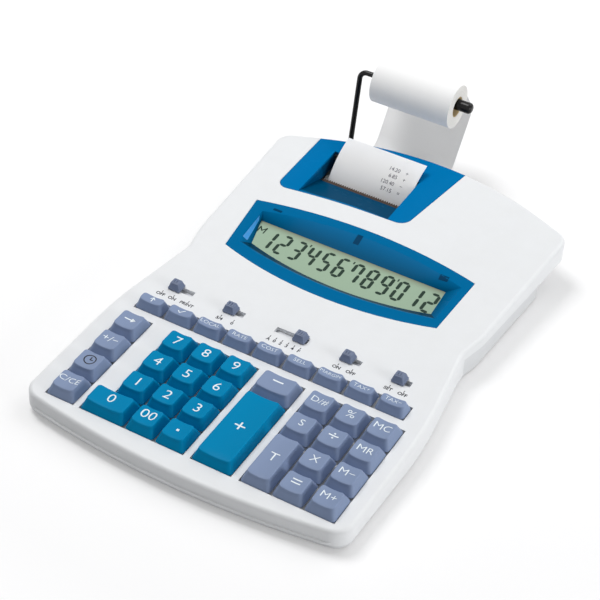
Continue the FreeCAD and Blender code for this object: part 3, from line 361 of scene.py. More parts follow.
def wound_paper(roll_y, roll_z):
    """Edge of a wound roll: a fine ring for each few layers, some of them a little darker."""
    made, n = new_material("wound_paper")
    place = n.object_place()
    parts = n.add("ShaderNodeSeparateXYZ", {0: place})
    across = n.math("SUBTRACT", parts.outputs["Y"], roll_y)
    upright = n.math("SUBTRACT", parts.outputs["Z"], roll_z)
    flat = n.add("ShaderNodeCombineXYZ", {0: across, 1: upright, 2: 0.0}).outputs[0]
    radius = n.vector("LENGTH", flat, output="Value")
    outward = n.add("ShaderNodeCombineXYZ", {0: radius, 1: 0.0, 2: 0.0}).outputs[0]
    rings = n.noise(outward, RING_SCALE, 4.0, 0.75)
    fibre = n.place(GRAIN, Colour=tone(236, 236, 234), Fineness=3000.0, Roughness=0.9, Shade=0.03)
    dark = n.spread(rings, 0.35, 0.62, 0.55, 0.0)
    base = n.mix(dark, fibre.outputs["Colour"], tone(196, 192, 184))
    principled(n, base, fibre, bumped(n, rings, 0.06 * MM, 0.6), IOR=1.35, Specular_IOR_Level=0.2)
    return made


# Where the painted shadow along the display's rear edge starts and where it is full, measured in from that
# edge
SHADOW_START, SHADOW_FULL = 10 * MM, 3.4 * MM


def display_glass():
    """Front of the display: grey-green, with a painted brownish shadow towards its rear edge, under a
    polished pane.
    """
    made, n = new_material("display_glass")
    rear_edge = local_span("lcd_panel", tilted(HEAD_TILT))[1].y
    place = n.object_place()
    parts = n.add("ShaderNodeSeparateXYZ", {0: place})
    # Painted shadow along the rear edge, where the bezel's rim shades the panel
    rear = n.spread(parts.outputs["Y"], rear_edge - SHADOW_START, rear_edge - SHADOW_FULL, 0.0, 1.0)
    rear = n.product(rear, rear)
    grain = n.place(GRAIN, Colour=tone(152, 176, 152), Fineness=2600.0, Roughness=0.32, Shade=0.05)
    base = n.mix(n.product(rear, 0.75), grain.outputs["Colour"], tone(104, 98, 78))
    principled(
        n, base, grain, bumped(n, grain.outputs["Height"], 0.004 * MM),
        IOR=1.5, Specular_IOR_Level=0.2, Coat_Weight=0.3, Coat_Roughness=0.06,
    )
    return made


BOARD_THICKNESS = 1.8 * MM


def circuit_board():
    """Solder mask over tracks of a lighter green, and black switch housings where it stands higher."""
    made, n = new_material("circuit_board")
    place = n.object_place()
    tracks = n.add(
        "ShaderNodeTexBrick", {"Vector": place, "Scale": 160.0, "Mortar Size": 0.03, "Brick Width": 0.9},
    )
    grain = n.place(GRAIN, Colour=tone(34, 96, 52), Roughness=0.35, Shade=0.1)
    mask = n.mix(tracks.outputs["Fac"], grain.outputs["Colour"], tone(66, 138, 78))
    board_top = local_span("main_board", DECK)[0].z + BOARD_THICKNESS
    housing = n.spread(height_along(n, DECK), board_top, board_top + 0.2 * MM, 0.0, 1.0)
    base = n.mix(housing, mask, tone(24, 25, 28))
    principled(n, base, grain, bumped(n, tracks.outputs["Fac"], 0.03 * MM), Coat_Weight=0.3)
    return made


casing_white = plastic("casing_white", (230, 232, 234), 0.42, depth=0.03, wear_and_sheen=0.1, dust=0.08)
# Painted shade: the lower casing is a darker copy of the casing white, for the shade below the front bead
casing_lower_shaded = plastic("casing_lower_shaded", (218, 220, 222), 0.46, depth=0.04, wear_and_sheen=0.1, dust=0.06)
# Each clear blue: its colour, the painted shade deep in the case, how far down that shade reaches, and the
# painted shade on walls that turn from the front
cover_blue = clear_blue("cover_blue", (0, 113, 173), (0, 76, 119), 3.0 * MM, (0, 66, 100))
bezel_blue = clear_blue("bezel_blue", (0, 103, 155), (0, 82, 122), 4.0 * MM, (0, 52, 76))
tab_blue = plastic("tab_blue", (0, 62, 98), 0.4, depth=0.01, wear_and_sheen=0.0, gloss=0.02)
# Painted highlight: pale blue for where the pane's edge catches the light on the bezel's left wall
window_glint = plastic("window_glint", (58, 146, 214), 0.3, depth=0.004, wear_and_sheen=0.2, gloss=0.2)
key_blue = plastic("key_blue", (0, 130, 178), 0.32, depth=0.008, wear_and_sheen=0.02, shade=0.08, gloss=0.04)
key_slate = plastic("key_slate", (131, 147, 178), 0.34, depth=0.008, wear_and_sheen=0.06, shade=0.08, gloss=0.1)
knob_slate = plastic("knob_slate", (104, 116, 142), 0.4, depth=0.015, wear_and_sheen=0.22)
legend_white = plastic("legend_white", (232, 240, 244), 0.5, depth=0.004, wear_and_sheen=0.0, shade=0.04)
legend_dark = plastic("legend_dark", (22, 26, 38), 0.5, depth=0.004, wear_and_sheen=0.0, shade=0.1)
display_ink = plastic("display_ink", (22, 46, 34), 0.4, depth=0.004, wear_and_sheen=0.0, shade=0.15, gloss=0.2)
print_ink = plastic("print_ink", (62, 60, 76), 0.7, depth=0.004, wear_and_sheen=0.0, shade=0.6)
arm_black = plastic("arm_black", (8, 8, 9), 0.22, depth=0.006, wear_and_sheen=0.03, coat=0.12, shade=0.2, gloss=0.2)
jack_black = plastic("jack_black", (26, 26, 28), 0.42, depth=0.02)
roller_rubber = plastic("roller_rubber", (40, 39, 40), 0.7, fineness=3000.0, depth=0.03)
drum_plastic = plastic("drum_plastic", (58, 58, 62), 0.45, depth=0.02)
gear_white = plastic("gear_white", (236, 236, 230), 0.4, depth=0.015)
smoked_brown = plastic("smoked_brown", (66, 44, 30), 0.3, depth=0.01, wear_and_sheen=0.1, gloss=0.3, shade=0.3)
ink_felt = plastic("ink_felt", (54, 36, 82), 0.95, fineness=1600.0, depth=0.2, wear_and_sheen=0.0, shade=0.4)
foot_rubber = plastic("foot_rubber", (58, 58, 60), 0.8, fineness=1800.0, depth=0.04, dust=0.2)
membrane_grey = plastic("membrane_grey", (62, 70, 90), 0.6)
plate_grey = plastic("plate_grey", (222, 224, 228), 0.5, depth=0.01)
core_card = plastic("core_card", (186, 164, 122), 0.85, fineness=900.0, depth=0.05, shade=0.25)
chassis_steel = metal("chassis_steel", (176, 178, 182), 0.36)
screw_steel = metal("screw_steel", (160, 160, 164), 0.3, along=(0, 0, 1))
paper_white = paper("paper_white", (247, 247, 247))
paper_sheet = paper("paper_sheet", (252, 252, 252), 0.35)
display_front = display_glass()
board_green = circuit_board()

# Mesh helpers


def new_object(name, data):
    made = bpy.data.objects.new(name, data)
    bpy.context.scene.collection.objects.link(made)
    return made


def mesh_of(bm, name, matrix=None):
    bmesh.ops.recalc_face_normals(bm, faces=bm.faces)
    mesh = bpy.data.meshes.new(name)
    bm.to_mesh(mesh)
    bm.free()
    if matrix is not None:
        mesh.transform(matrix)
    return mesh


def new_piece(name, bm, material, body, smooth_angle=30.0, matrix=None):
    """Object from finished faces, with its material, riding on its body."""
    mesh = mesh_of(bm, name, matrix)
    mesh.materials.append(material)
    mesh.validate()
    piece = new_object(name, mesh)
    for polygon in mesh.polygons:
        polygon.use_smooth = True
    mesh.set_sharp_from_angle(angle=math.radians(smooth_angle))
    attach(piece, body)
    return piece


def loft(bm, rings, looped=False):
    """Skin over rings of equal count. It has flat ends, or joins its last ring to its first if looped."""
    rows = [[bm.verts.new(point) for point in ring] for ring in rings]
    count = len(rows[0])
    if looped:
        rows.append(rows[0])
    for below, above in zip(rows, rows[1:]):
        for i in range(count):
            j = (i + 1) % count
            bm.faces.new((below[i], below[j], above[j], above[i]))
    if not looped:
        bm.faces.new(list(reversed(rows[0])))
        bm.faces.new(rows[-1])


def lofted(rings, looped=False):
    bm = bmesh.new()
    loft(bm, rings, looped)
    return bm


def raised(ring, middle, *levels):
    """The same ring round a middle, at several heights."""
    return [
        [Vector((point.x + middle.x, point.y + middle.y, level)) for point in ring] for level in levels
    ]


def rounded_ring(half_u, half_v, corner, runs=6, steps=5):
    """Points round a rounded rectangle, the same number for any size."""
    arcs = []
    for side_u, side_v, start in ((1, 1, 0), (-1, 1, 90), (-1, -1, 180), (1, -1, 270)):
        centre = Vector((side_u * (half_u - corner), side_v * (half_v - corner)))
        angles = [math.radians(start + 90 * step / steps) for step in range(steps + 1)]
        arcs.append([centre + corner * Vector((math.cos(angle), math.sin(angle))) for angle in angles])
    points = []
    for arc, following in zip(arcs, arcs[1:] + arcs[:1]):
        points += arc + [arc[-1].lerp(following[0], run / runs) for run in range(1, runs)]
    return points


def turned(profile, y, z, segments, looped=False):
    """Form turned about a line along X, from (x, radius) steps."""
    angles = [math.tau * i / segments for i in range(segments)]
    rings = [
        [Vector((x, y + radius * math.cos(angle), z + radius * math.sin(angle))) for angle in angles]
        for x, radius in profile
    ]
    return lofted(rings, looped)


# Lettering and marks: flat outlines, sliced finely so that they follow a dished key, then thickened

LEGEND_LIFT = 0.035 * MM
LEGEND_SINK = 0.05 * MM
SLICE = 0.8 * MM
WELD = 1e-7
CAST_FROM = 0.2


def text_mesh(text, height, weight=0.0):
    curve = bpy.data.curves.new("lettering", "FONT")
    curve.body = text
    curve.size = height
    curve.offset = weight
    curve.align_x = curve.align_y = "CENTER"
    curve.resolution_u = 4
    holder = new_object("lettering", curve)
    bpy.context.view_layer.update()
    finished = holder.evaluated_get(bpy.context.evaluated_depsgraph_get())
    flat = bpy.data.meshes.new_from_object(finished)
    bpy.data.objects.remove(holder)
    return flat


def search_tree(node, back=Matrix()):
    """A node's faces, ready for rays, in the frame that a matrix leads to."""
    mesh = nodes[node].data
    points = [back @ vertex.co for vertex in mesh.vertices]
    return BVHTree.FromPolygons(points, [list(polygon.vertices) for polygon in mesh.polygons])


def height_over(node, turn):
    """Height of a node's upper side, as a function of place in a turned frame."""
    tree = search_tree(node, turn.inverted())

    def height(u, v):
        hit = tree.ray_cast(Vector((u, v, CAST_FROM)), Vector((0, 0, -1)))[0]
        return hit.z if hit else 0.0

    return height


def sliced(bm, axis, width):
    """Cut everything across one axis at an even pitch."""
    places = [vertex.co[axis] for vertex in bm.verts]
    across = Vector([float(i == axis) for i in range(3)])
    for cut in range(math.floor(min(places) / width) + 1, math.ceil(max(places) / width)):
        geometry = bm.verts[:] + bm.edges[:] + bm.faces[:]
        bmesh.ops.bisect_plane(bm, geom=geometry, plane_co=across * cut * width, plane_no=across)


def on_surface(bm, height_at, lift=LEGEND_LIFT, sink=LEGEND_SINK, rows=False):
    """Flat faces in u and v become thin solids that follow a surface."""
    bmesh.ops.remove_doubles(bm, verts=bm.verts, dist=WELD)
    sliced(bm, 0, SLICE)
    if rows:
        sliced(bm, 1, SLICE)
    lower = bm.faces[:]
    made = bmesh.ops.extrude_face_region(bm, geom=lower)
    upper = {item for item in made["geom"] if isinstance(item, bmesh.types.BMVert)}
    for vertex in bm.verts:
        offset = lift if vertex in upper else -sink
        vertex.co.z = height_at(vertex.co.x, vertex.co.y) + offset


def in_metres(points):
    return [(u * MM, v * MM) for u, v in points]


def flat_patch(bm, corners):
    bm.faces.new([bm.verts.new((u, v, 0)) for u, v in corners])


def drawn(lines, width):
    """Flat mesh in which each line of points is a band of a given width."""
    bm = bmesh.new()
    for line in lines:
        for start, stop in zip(line, line[1:]):
            start, stop = Vector(start), Vector(stop)
            along = (stop - start).normalized() * width / 2
            side = Vector((-along.y, along.x))
            first, last = start - along, stop + along
            flat_patch(bm, (first + side, first - side, last - side, last + side))
    mesh = bpy.data.meshes.new("drawn")
    bm.to_mesh(mesh)
    bm.free()
    return mesh


def words(text, height, u=0.0, v=0.0, weight=-0.05 * MM, stretch=1.1):
    """Lettering with its place, by default a little finer and broader than the font has it."""
    flat = text_mesh(text, height, weight)
    flat.transform(Matrix.Diagonal((stretch, 1, 1, 1)))
    return flat, u, v


def gathered(parts):
    """Flat meshes brought together, each moved by its own offset in u and v."""
    bm = bmesh.new()
    for flat, shift_u, shift_v in parts:
        flat.transform(Matrix.Translation((shift_u, shift_v, 0)))
        bm.from_mesh(flat)
        bpy.data.meshes.remove(flat)
    return bm


# Keys: hollow caps with leaning sides, softened edges and a top that is dished from side to side

DISH = 1.15 * MM
SIDE_LEAN = 2.2 * MM
END_LEAN = 2.7 * MM
FOOT_CORNER = 2.0 * MM
TOP_CORNER = 2.2 * MM
EDGE_ROUND = 0.9 * MM
CAP_WALL = 1.2 * MM
SKIRT_WALL = CAP_WALL * 0.8
STEM_HALF = 3.0 * MM
STEM_FLANGE = 1.5 * MM
CROWN = 0.25 * MM
CAP_FOOT = -0.4 * MM
WALL_SHARES = (0.0, 0.04, 0.35, 0.7, 1.0)
TOP_SHARES = (0.8, 0.6, 0.4, 0.2, 0.04)
ROOF_SHARES = (0.05, 1.0)
ROUND_STEPS = 4
ROUND_REACH, ROUND_TIGHTEN = 0.85, 0.8
TOP_RING_CORNER = 0.7 * MM
INNER_CORNER, STEM_CORNER = 0.8 * MM, 0.5 * MM
STEM_IN_ROOF, FLANGE_HEIGHT = 0.2 * MM, 0.9 * MM


def deck_span(node):
    """Middle of a node on the deck, half its reach in u and in v, its lowest and its highest level."""
    low, high = local_span(node, DECK)
    middle = Vector(((low.x + high.x) / 2, (low.y + high.y) / 2))
    return middle, (high.x - low.x) / 2, (high.y - low.y) / 2, low.z, high.z


class Cap:
    """A key cap in the deck's frame, sized by its node."""

    def __init__(self, node, lean):
        self.centre, self.half_u, self.half_v, self.stem_low, highest = deck_span(node)
        self.top = highest + CROWN
        self.roof = self.top - DISH - CAP_WALL
        self.side_lean, self.end_lean = SIDE_LEAN * lean, END_LEAN * lean
        self.top_u, self.top_v = self.half_u - self.side_lean, self.half_v - self.end_lean

    def surface(self, u, v=0.0):
        """Height of the dished top, measured from the cap's middle. It is the same all along v."""
        reach = min(1.0, abs(u) / self.top_u)
        return self.top - DISH * (1 - reach * reach)

    def ring(self, inset_u, inset_v, corner, drop=None, level=None):
        ring = []
        for point in rounded_ring(self.half_u - inset_u, self.half_v - inset_v, corner):
            height = level if level is not None else self.surface(point.x) - drop
            ring.append(Vector((point.x + self.centre.x, point.y + self.centre.y, height)))
        return ring

    def outside(self):
        """Rings from the foot up the wall, round the edge and in over the top."""
        rings = []
        for share in WALL_SHARES:
            corner = FOOT_CORNER + (TOP_CORNER - FOOT_CORNER) * share
            wall = self.ring(self.side_lean * share, self.end_lean * share, corner, drop=EDGE_ROUND)
            for point in wall:
                point.z = CAP_FOOT + (point.z - CAP_FOOT) * share
            rings.append(wall)
        for step in range(1, ROUND_STEPS + 1):
            angle = math.radians(90 / ROUND_STEPS * step)
            inset = EDGE_ROUND * (1 - math.cos(angle)) * ROUND_REACH
            drop = EDGE_ROUND * (1 - math.sin(angle))
            corner = TOP_CORNER - inset * ROUND_TIGHTEN
            rings.append(self.ring(self.side_lean + inset, self.end_lean + inset, corner, drop=drop))
        edge_u, edge_v = self.top_u - EDGE_ROUND, self.top_v - EDGE_ROUND
        for share in TOP_SHARES:
            inset_u, inset_v = self.half_u - edge_u * share, self.half_v - edge_v * share
            rings.append(self.ring(inset_u, inset_v, TOP_RING_CORNER * share, drop=0.0))
        return rings

    def inside(self):
        """Rings down the inner wall from the middle of the roof to the foot."""
        rings = []
        for share in ROOF_SHARES:
            inset_u = self.half_u - (self.top_u - SKIRT_WALL) * share
            inset_v = self.half_v - (self.top_v - SKIRT_WALL) * share
            rings.append(self.ring(inset_u, inset_v, INNER_CORNER * share, level=self.roof))
        rings.append(self.ring(SKIRT_WALL, SKIRT_WALL, INNER_CORNER, level=CAP_FOOT))
        return rings

    def shell(self):
        """The hollow cap, with its stem and the flange at the stem's foot."""
        bm = lofted(self.outside()[::-1] + self.inside()[::-1])
        for half, top in (
            (STEM_HALF, self.roof + STEM_IN_ROOF), (STEM_HALF + STEM_FLANGE, self.stem_low + FLANGE_HEIGHT),
        ):
            stem = rounded_ring(half, STEM_HALF, STEM_CORNER, runs=2, steps=3)
            loft(bm, raised(stem, self.centre, self.stem_low, top))
        return bm


def circle_points(radius, count=28):
    angles = [math.tau * i / count for i in range(count + 1)]
    return [(radius * math.cos(angle), radius * math.sin(angle)) for angle in angles]


# Legend, height of its letters, and how far it stands above the middle of the cap, in millimetres

PLAIN = {
    "key_0": ("0", 9.0, 1.0), "key_00": ("00", 9.0, 1.0), "key_plus": ("+", 12.5, 0.0),
    "key_minus": ("−", 13.0, 1.0), "key_total": ("T", 8.6, 0.0), "key_subtotal": ("S", 6.9, 0.6),
    "key_number": ("D/#", 6.0, 0.6), "key_clear": ("C/CE", 5.6, 0.8), "key_sign": ("+/−", 6.8, 0.8),
    "key_equals": ("=", 11.0, 0.6), "key_multiply": ("X", 6.8, 0.6), "key_divide": ("÷", 11.5, 0.6),
    "key_percent": ("%", 7.6, 0.6),
    "key_memory_plus": ("M+", 6.6, 0.8), "key_memory_minus": ("M−", 6.6, 0.8),
    "key_memory_recall": ("MR", 6.6, 0.8), "key_memory_clear": ("MC", 6.6, 0.8),
}
PLAIN.update({"key_%d" % digit: (str(digit), 9.0, 0.0) for digit in range(1, 10)})
FUNCTION_HEIGHT = 3.7 * MM
LONG_WORD_HEIGHT = 3.2 * MM
LONG_WORD = 6
FUNCTION_UP = 0.2 * MM
FUNCTION_WORDS = {
    "key_local": "LOCAL", "key_rate": "RATE", "key_cost": "COST", "key_sell": "SELL",
    "key_margin": "MARGIN", "key_tax_plus": "TAX+", "key_tax_minus": "TAX−",
}
BLUE_KEYS = ["key_%d" % digit for digit in range(10)] + ["key_00", "key_point", "key_plus"]
SHORT_KEYS = list(FUNCTION_WORDS) + ["key_shift", "key_check"]
SHORT_LEAN = 0.8

# Lines of a drawn legend in millimetres, the width of its stroke, and how far up it stands

ARROW = [[(-3.2, 0), (1.4, 0)], [(1.3, 1.0), (3.1, 0), (1.3, -1.0), (1.3, 1.0)], [(1.3, 0), (2.6, 0)]]
DRAWN = {
    "key_point": ([[(-0.01, 0), (0.01, 0)]], 1.5, 0.0),
    "key_clock": ([circle_points(3.4), [(0, 1.9), (0, 0), (1.5, 0)]], 0.7, 0.6),
    "key_arrow": (ARROW, 0.8, 0.8),
    "key_shift": ([[(0, -1.6), (0, 1.0)], [(-1.3, 0.3), (0, 1.7), (1.3, 0.3)]], 0.55, 0.2),
    "key_check": ([[(-1.8, 0), (-0.5, -1.2), (1.9, 1.4)]], 0.5, 0.2),
}


def legend_part(node):
    """Flat legend of a key, with its offset in u and v."""
    if node in PLAIN:
        text, height, up = PLAIN[node]
        return words(text, height * MM, 0, up * MM)
    if node in FUNCTION_WORDS:
        text = FUNCTION_WORDS[node]
        height = FUNCTION_HEIGHT if len(text) < LONG_WORD else LONG_WORD_HEIGHT
        return words(text, height, 0, FUNCTION_UP)
    lines, width, up = DRAWN[node]
    return drawn([in_metres(line) for line in lines], width * MM), 0, up * MM


def make_key(node):
    slot, finish = ("key_blue", key_blue) if node in BLUE_KEYS else ("key_slate", key_slate)
    cap = Cap(node, SHORT_LEAN if node in SHORT_KEYS else 1.0)
    piece = new_piece(node + "_cap", cap.shell(), finish, node, 50.0, DECK)
    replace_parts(piece, node)
    bm = gathered([legend_part(node)])
    on_surface(bm, cap.surface)
    ink = legend_dark if node == "key_clock" else legend_white
    place = DECK @ Matrix.Translation((cap.centre.x, cap.centre.y, 0))
    new_piece(node + "_legend", bm, ink, node, matrix=place)


for key in sorted(nodes):
    if key.startswith("key_") and key != "key_membrane":
        make_key(key)

# Slide switches: a chamfered grip with ribs, the plate that slides with it, and the marks beside the slots

# How far a switch's plate reaches to either side, in millimetres

PLATE_REACH = {"print": 13.4, "rounding": 10.2, "decimal": 20.2, "item": 10.2, "rate": 9.0}
PLATE_THICKNESS = 0.5 * MM
PLATE_RISE = 1.2 * MM
PLATE_CORNER = 0.5 * MM
STRIP_SHARE = 0.8
KNOB_RISE = 0.3 * MM
KNOB_CORNER = 0.7 * MM
KNOB_STEM, KNOB_STEM_CORNER, KNOB_STEM_TOP = 1.8 * MM, 0.3 * MM, 0.4 * MM

# Inset of the grip's outline and its height in millimetres, first from the foot and then from the top

GRIP_FOOT = [(0.0, 0.0), (0.0, 1.1), (0.25, 1.3)]
GRIP_TOP = [(1.15, -0.4), (1.3, -0.15), (1.6, 0.0)]
RIB_PITCH = 1.55 * MM
RIB_HALF, RIB_INSET, RIB_CORNER = 0.42 * MM, 1.9 * MM, 0.3 * MM
RIB_STEPS = [(1.0, -0.3), (1.0, 0.25), (0.7, 0.45)]


def grip_shell(node):
    middle, half_u, half_v, low, high = deck_span(node)
    steps = [(inset * MM, KNOB_RISE + up * MM) for inset, up in GRIP_FOOT]
    steps += [(inset * MM, high + up * MM) for inset, up in GRIP_TOP]
    rings = []
    for inset, level in steps:
        outline = rounded_ring(half_u - inset, half_v - inset, KNOB_CORNER, runs=3, steps=4)
        rings += raised(outline, middle, level)
    bm = lofted(rings)
    ridge = rounded_ring(RIB_HALF, half_v - RIB_INSET, RIB_CORNER, runs=2, steps=3)
    for rib in (-1, 0, 1):
        centre = middle.x + rib * RIB_PITCH
        rings = []
        for scale, up in RIB_STEPS:
            level = high + up * MM
            rings.append([
                Vector((point.x * scale + centre, point.y * scale + middle.y, level)) for point in ridge
            ])
        loft(bm, rings)
    stem = rounded_ring(KNOB_STEM, KNOB_STEM, KNOB_STEM_CORNER, runs=2, steps=2)
    loft(bm, raised(stem, middle, low, KNOB_RISE + KNOB_STEM_TOP))
    return bm


def plate_shell(node, reach):
    middle, half_u, half_v, low = deck_span(node)[:4]
    top = low + PLATE_RISE
    strip = rounded_ring(reach, half_v * STRIP_SHARE, PLATE_CORNER, runs=8, steps=3)
    bm = lofted(raised(strip, middle, top - PLATE_THICKNESS, top))
    block = rounded_ring(half_u, half_v, PLATE_CORNER)
    loft(bm, raised(block, middle, low, top - PLATE_THICKNESS))
    return bm


def switch_knob(name):
    node = name + "_switch_knob"
    bm = grip_shell(node)
    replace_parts(new_piece(node + "_grip", bm, knob_slate, node, 40.0, DECK), node)
    bm = plate_shell(node, PLATE_REACH[name] * MM)
    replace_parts(new_piece(node + "_plate", bm, plate_grey, node, 40.0, DECK), node)


# Marks of each switch, and how far across the deck they stand in millimetres

MARKS = {
    "print": [("OFF", -82.2), ("ON", -74.2), ("PRINT", -64.0)],
    "rounding": [("5/4", -41.4), ("0", -32.8)],
    "decimal": [("A", -8.2), ("0", -4.2), ("2", -0.2), ("3", 3.8), ("4", 7.8), ("F", 11.8)],
    "item": [("ON", 36.6), ("OFF", 45.6)],
    "rate": [("SET", 69.6), ("OFF", 78.6)],
}
MARK_ROW = 92.4 * MM
MARK_HEIGHT = 3.3 * MM
MARK_WEIGHT = 0.09 * MM
TICK_WIDTH = 0.45 * MM
TICK_LOW, TICK_HIGH = 1.9 * MM, 3.0 * MM


def flat_marks(name, bm, matrix, material):
    """Marks on a flat part of the casing or of the display."""
    on_surface(bm, lambda u, v: 0.0)
    new_piece(name, bm, material, "casing", matrix=matrix)


def make_switches():
    for name, labels in MARKS.items():
        switch_knob(name)
        parts = [words(text, MARK_HEIGHT, u * MM, MARK_ROW, MARK_WEIGHT, 1.0) for text, u in labels]
        ticks = [[(u * MM, MARK_ROW + TICK_LOW), (u * MM, MARK_ROW + TICK_HIGH)] for text, u in labels]
        parts.append((drawn(ticks, TICK_WIDTH), 0, 0))
        flat_marks(name + "_switch_marks", gathered(parts), DECK, legend_dark)


make_switches()

# Display: slanted segment digits under the pane, a painted highlight on the bezel's left wall, and what
# shows through the blue rim

PANEL_TOP = -4.7 * MM
DIGIT_HEIGHT = 18.6 * MM
DIGIT_WIDTH = 7.2 * MM
DIGIT_PITCH = 10.12 * MM
SEGMENT = 2.1 * MM
SEGMENT_GAP = 0.18 * MM
DIGIT_LEAN = -0.01
FIRST_DIGIT = -60.15 * MM
DIGIT_FOOT = 24.6 * MM
MEMORY_PLACE = (-65.0 * MM, 39.9 * MM)
MEMORY_STROKE = 0.85 * MM
MEMORY_LETTER = [(-2.2, -2.4), (-2.2, 2.4), (0, -0.6), (2.2, 2.4), (2.2, -2.4)]
SHOWN = "123456789012"
SEGMENTS = {
    "0": "abcdef", "1": "bc", "2": "abged", "3": "abgcd", "4": "fgbc",
    "5": "afgcd", "6": "afgedc", "7": "fabc", "8": "abcdefg", "9": "abcdfg",
}

# Digits that a comma follows, and its corners in millimetres, from the gap and down from the digit's top

COMMA_AFTER = (2, 5, 8)
COMMA_GAP = 1.1 * MM
COMMA = [(0.0, -2.4), (0.8, -2.2), (0.9, 0.0), (-0.1, 0.0)]


def segment_shape(letter):
    """Corners of one segment, zero at the digit's lower left. An upright one is a level one turned over."""
    half, middle = SEGMENT / 2, DIGIT_HEIGHT / 2
    top, right = DIGIT_HEIGHT - half, DIGIT_WIDTH - half
    level = letter in "adg"
    if level:
        low, high, side = half, right, {"a": top, "d": half, "g": middle}[letter]
    else:
        low, high = (half, middle) if letter in "ec" else (middle, top)
        side = half if letter in "ef" else right
    low, high = low + SEGMENT_GAP, high - SEGMENT_GAP
    shape = [
        (low, side), (low + half, side + half), (high - half, side + half),
        (high, side), (high - half, side - half), (low + half, side - half),
    ]
    return shape if level else [(u, v) for v, u in shape]


def make_digits():
    bm = bmesh.new()
    for place, digit in enumerate(SHOWN):
        left = FIRST_DIGIT + place * DIGIT_PITCH
        shapes = [segment_shape(letter) for letter in SEGMENTS[digit]]
        if place in COMMA_AFTER:
            edge = DIGIT_WIDTH + COMMA_GAP
            shapes.append([(edge + u * MM, DIGIT_HEIGHT + v * MM) for u, v in COMMA])
        for shape in shapes:
            flat_patch(bm, [(left + u + v * DIGIT_LEAN, DIGIT_FOOT + v) for u, v in shape])
    level = HEAD @ Matrix.Translation((0, 0, PANEL_TOP))
    flat_marks("display_digits", bm, level, display_ink)
    letter = drawn([in_metres(MEMORY_LETTER)], MEMORY_STROKE)
    bm = gathered([(letter, *MEMORY_PLACE)])
    flat_marks("display_memory_mark", bm, level, display_ink)


make_digits()

# Painted highlight on the left wall of the bezel, where the pane's edge catches the light: v and level in
# millimetres

PANE_GLINT = [(24.0, -0.3), (24.6, -2.6), (44.0, -2.2), (46.5, -0.3)]
BEZEL_RIM = -74.0 * MM
RIM_STEP = 0.1 * MM
TRIM_LIFT, TRIM_SINK = 0.06 * MM, 0.04 * MM

# Left, right, front and rear of each clip in millimetres

CLIPS = [(-66.5, -60.5, 55.0, 57.0), (-9.6, -5.8, 55.0, 62.0), (50.5, 56.5, 52.0, 55.5)]


def down_wall(height, v, level):
    """Where the bezel's slope, followed across from its left rim, has dropped to a level."""
    u = BEZEL_RIM
    while height(u, v) > level:
        u += RIM_STEP
    return u


def bezel_trim(name, patches, height, material):
    bm = bmesh.new()
    for corners in patches:
        flat_patch(bm, corners)
    on_surface(bm, height, TRIM_LIFT, TRIM_SINK, rows=True)
    new_piece(name, bm, material, "casing", matrix=HEAD)


def make_bezel_trim():
    """Painted highlight of the pane's edge on the left wall, and the dark clips that show on the rear wall.
    """
    height = height_over("display_bezel", HEAD)
    edge = [(down_wall(height, v * MM, level * MM), v * MM) for v, level in PANE_GLINT]
    bezel_trim("display_pane_glint", [edge], height, window_glint)
    patches = []
    for left, right, front, rear in CLIPS:
        patches.append(in_metres([(left, front), (right, front), (right, rear), (left, rear)]))
    bezel_trim("display_clips", patches, height, tab_blue)


make_bezel_trim()

# Feed roller: a rubber roller on its shaft, and the toothed wheel that shows in the exit

ROLLER_LEFT, ROLLER_RIGHT, ROLLER_RADIUS = -58.0 * MM, -2.6 * MM, 6.0 * MM
SHAFT_RADIUS = 1.5 * MM
AXIS_RADIUS = 0.01 * MM
CHAMFER = 0.2 * MM
WHEEL_LEFT, WHEEL_RIGHT = -62.4 * MM, -59.8 * MM
WHEEL_TIP, WHEEL_ROOT, WHEEL_HUB = 6.75 * MM, 5.65 * MM, 1.55 * MM
WHEEL_BEVEL = 0.97
TEETH = 24
ROLLER_SEGMENTS = 96

# Share of a tooth's pitch, and whether the outline stands at the tip there

TOOTH_SHAPE = [(0.0, False), (0.22, False), (0.34, True), (0.62, True), (0.76, False)]


def spin_axis(node):
    low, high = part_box(node)
    return (low.y + high.y) / 2, (low.z + high.z) / 2


def feed_wheel(y, z):
    outline = []
    for tooth in range(TEETH):
        for share, at_tip in TOOTH_SHAPE:
            angle = math.tau * (tooth + share) / TEETH
            radius = WHEEL_TIP if at_tip else WHEEL_ROOT
            outline.append((radius * math.cos(angle), radius * math.sin(angle)))
    bore = [WHEEL_HUB / math.hypot(across, upright) for across, upright in outline]
    bevel, full = [WHEEL_BEVEL] * len(outline), [1.0] * len(outline)
    rings = []
    for x, factors in (
        (WHEEL_LEFT, bore), (WHEEL_LEFT, bevel), (WHEEL_LEFT + CHAMFER, full),
        (WHEEL_RIGHT - CHAMFER, full), (WHEEL_RIGHT, bevel), (WHEEL_RIGHT, bore),
    ):
        rings.append([
            Vector((x, y + across * factor, z + upright * factor))
            for (across, upright), factor in zip(outline, factors)
        ])
    return lofted(rings, looped=True)


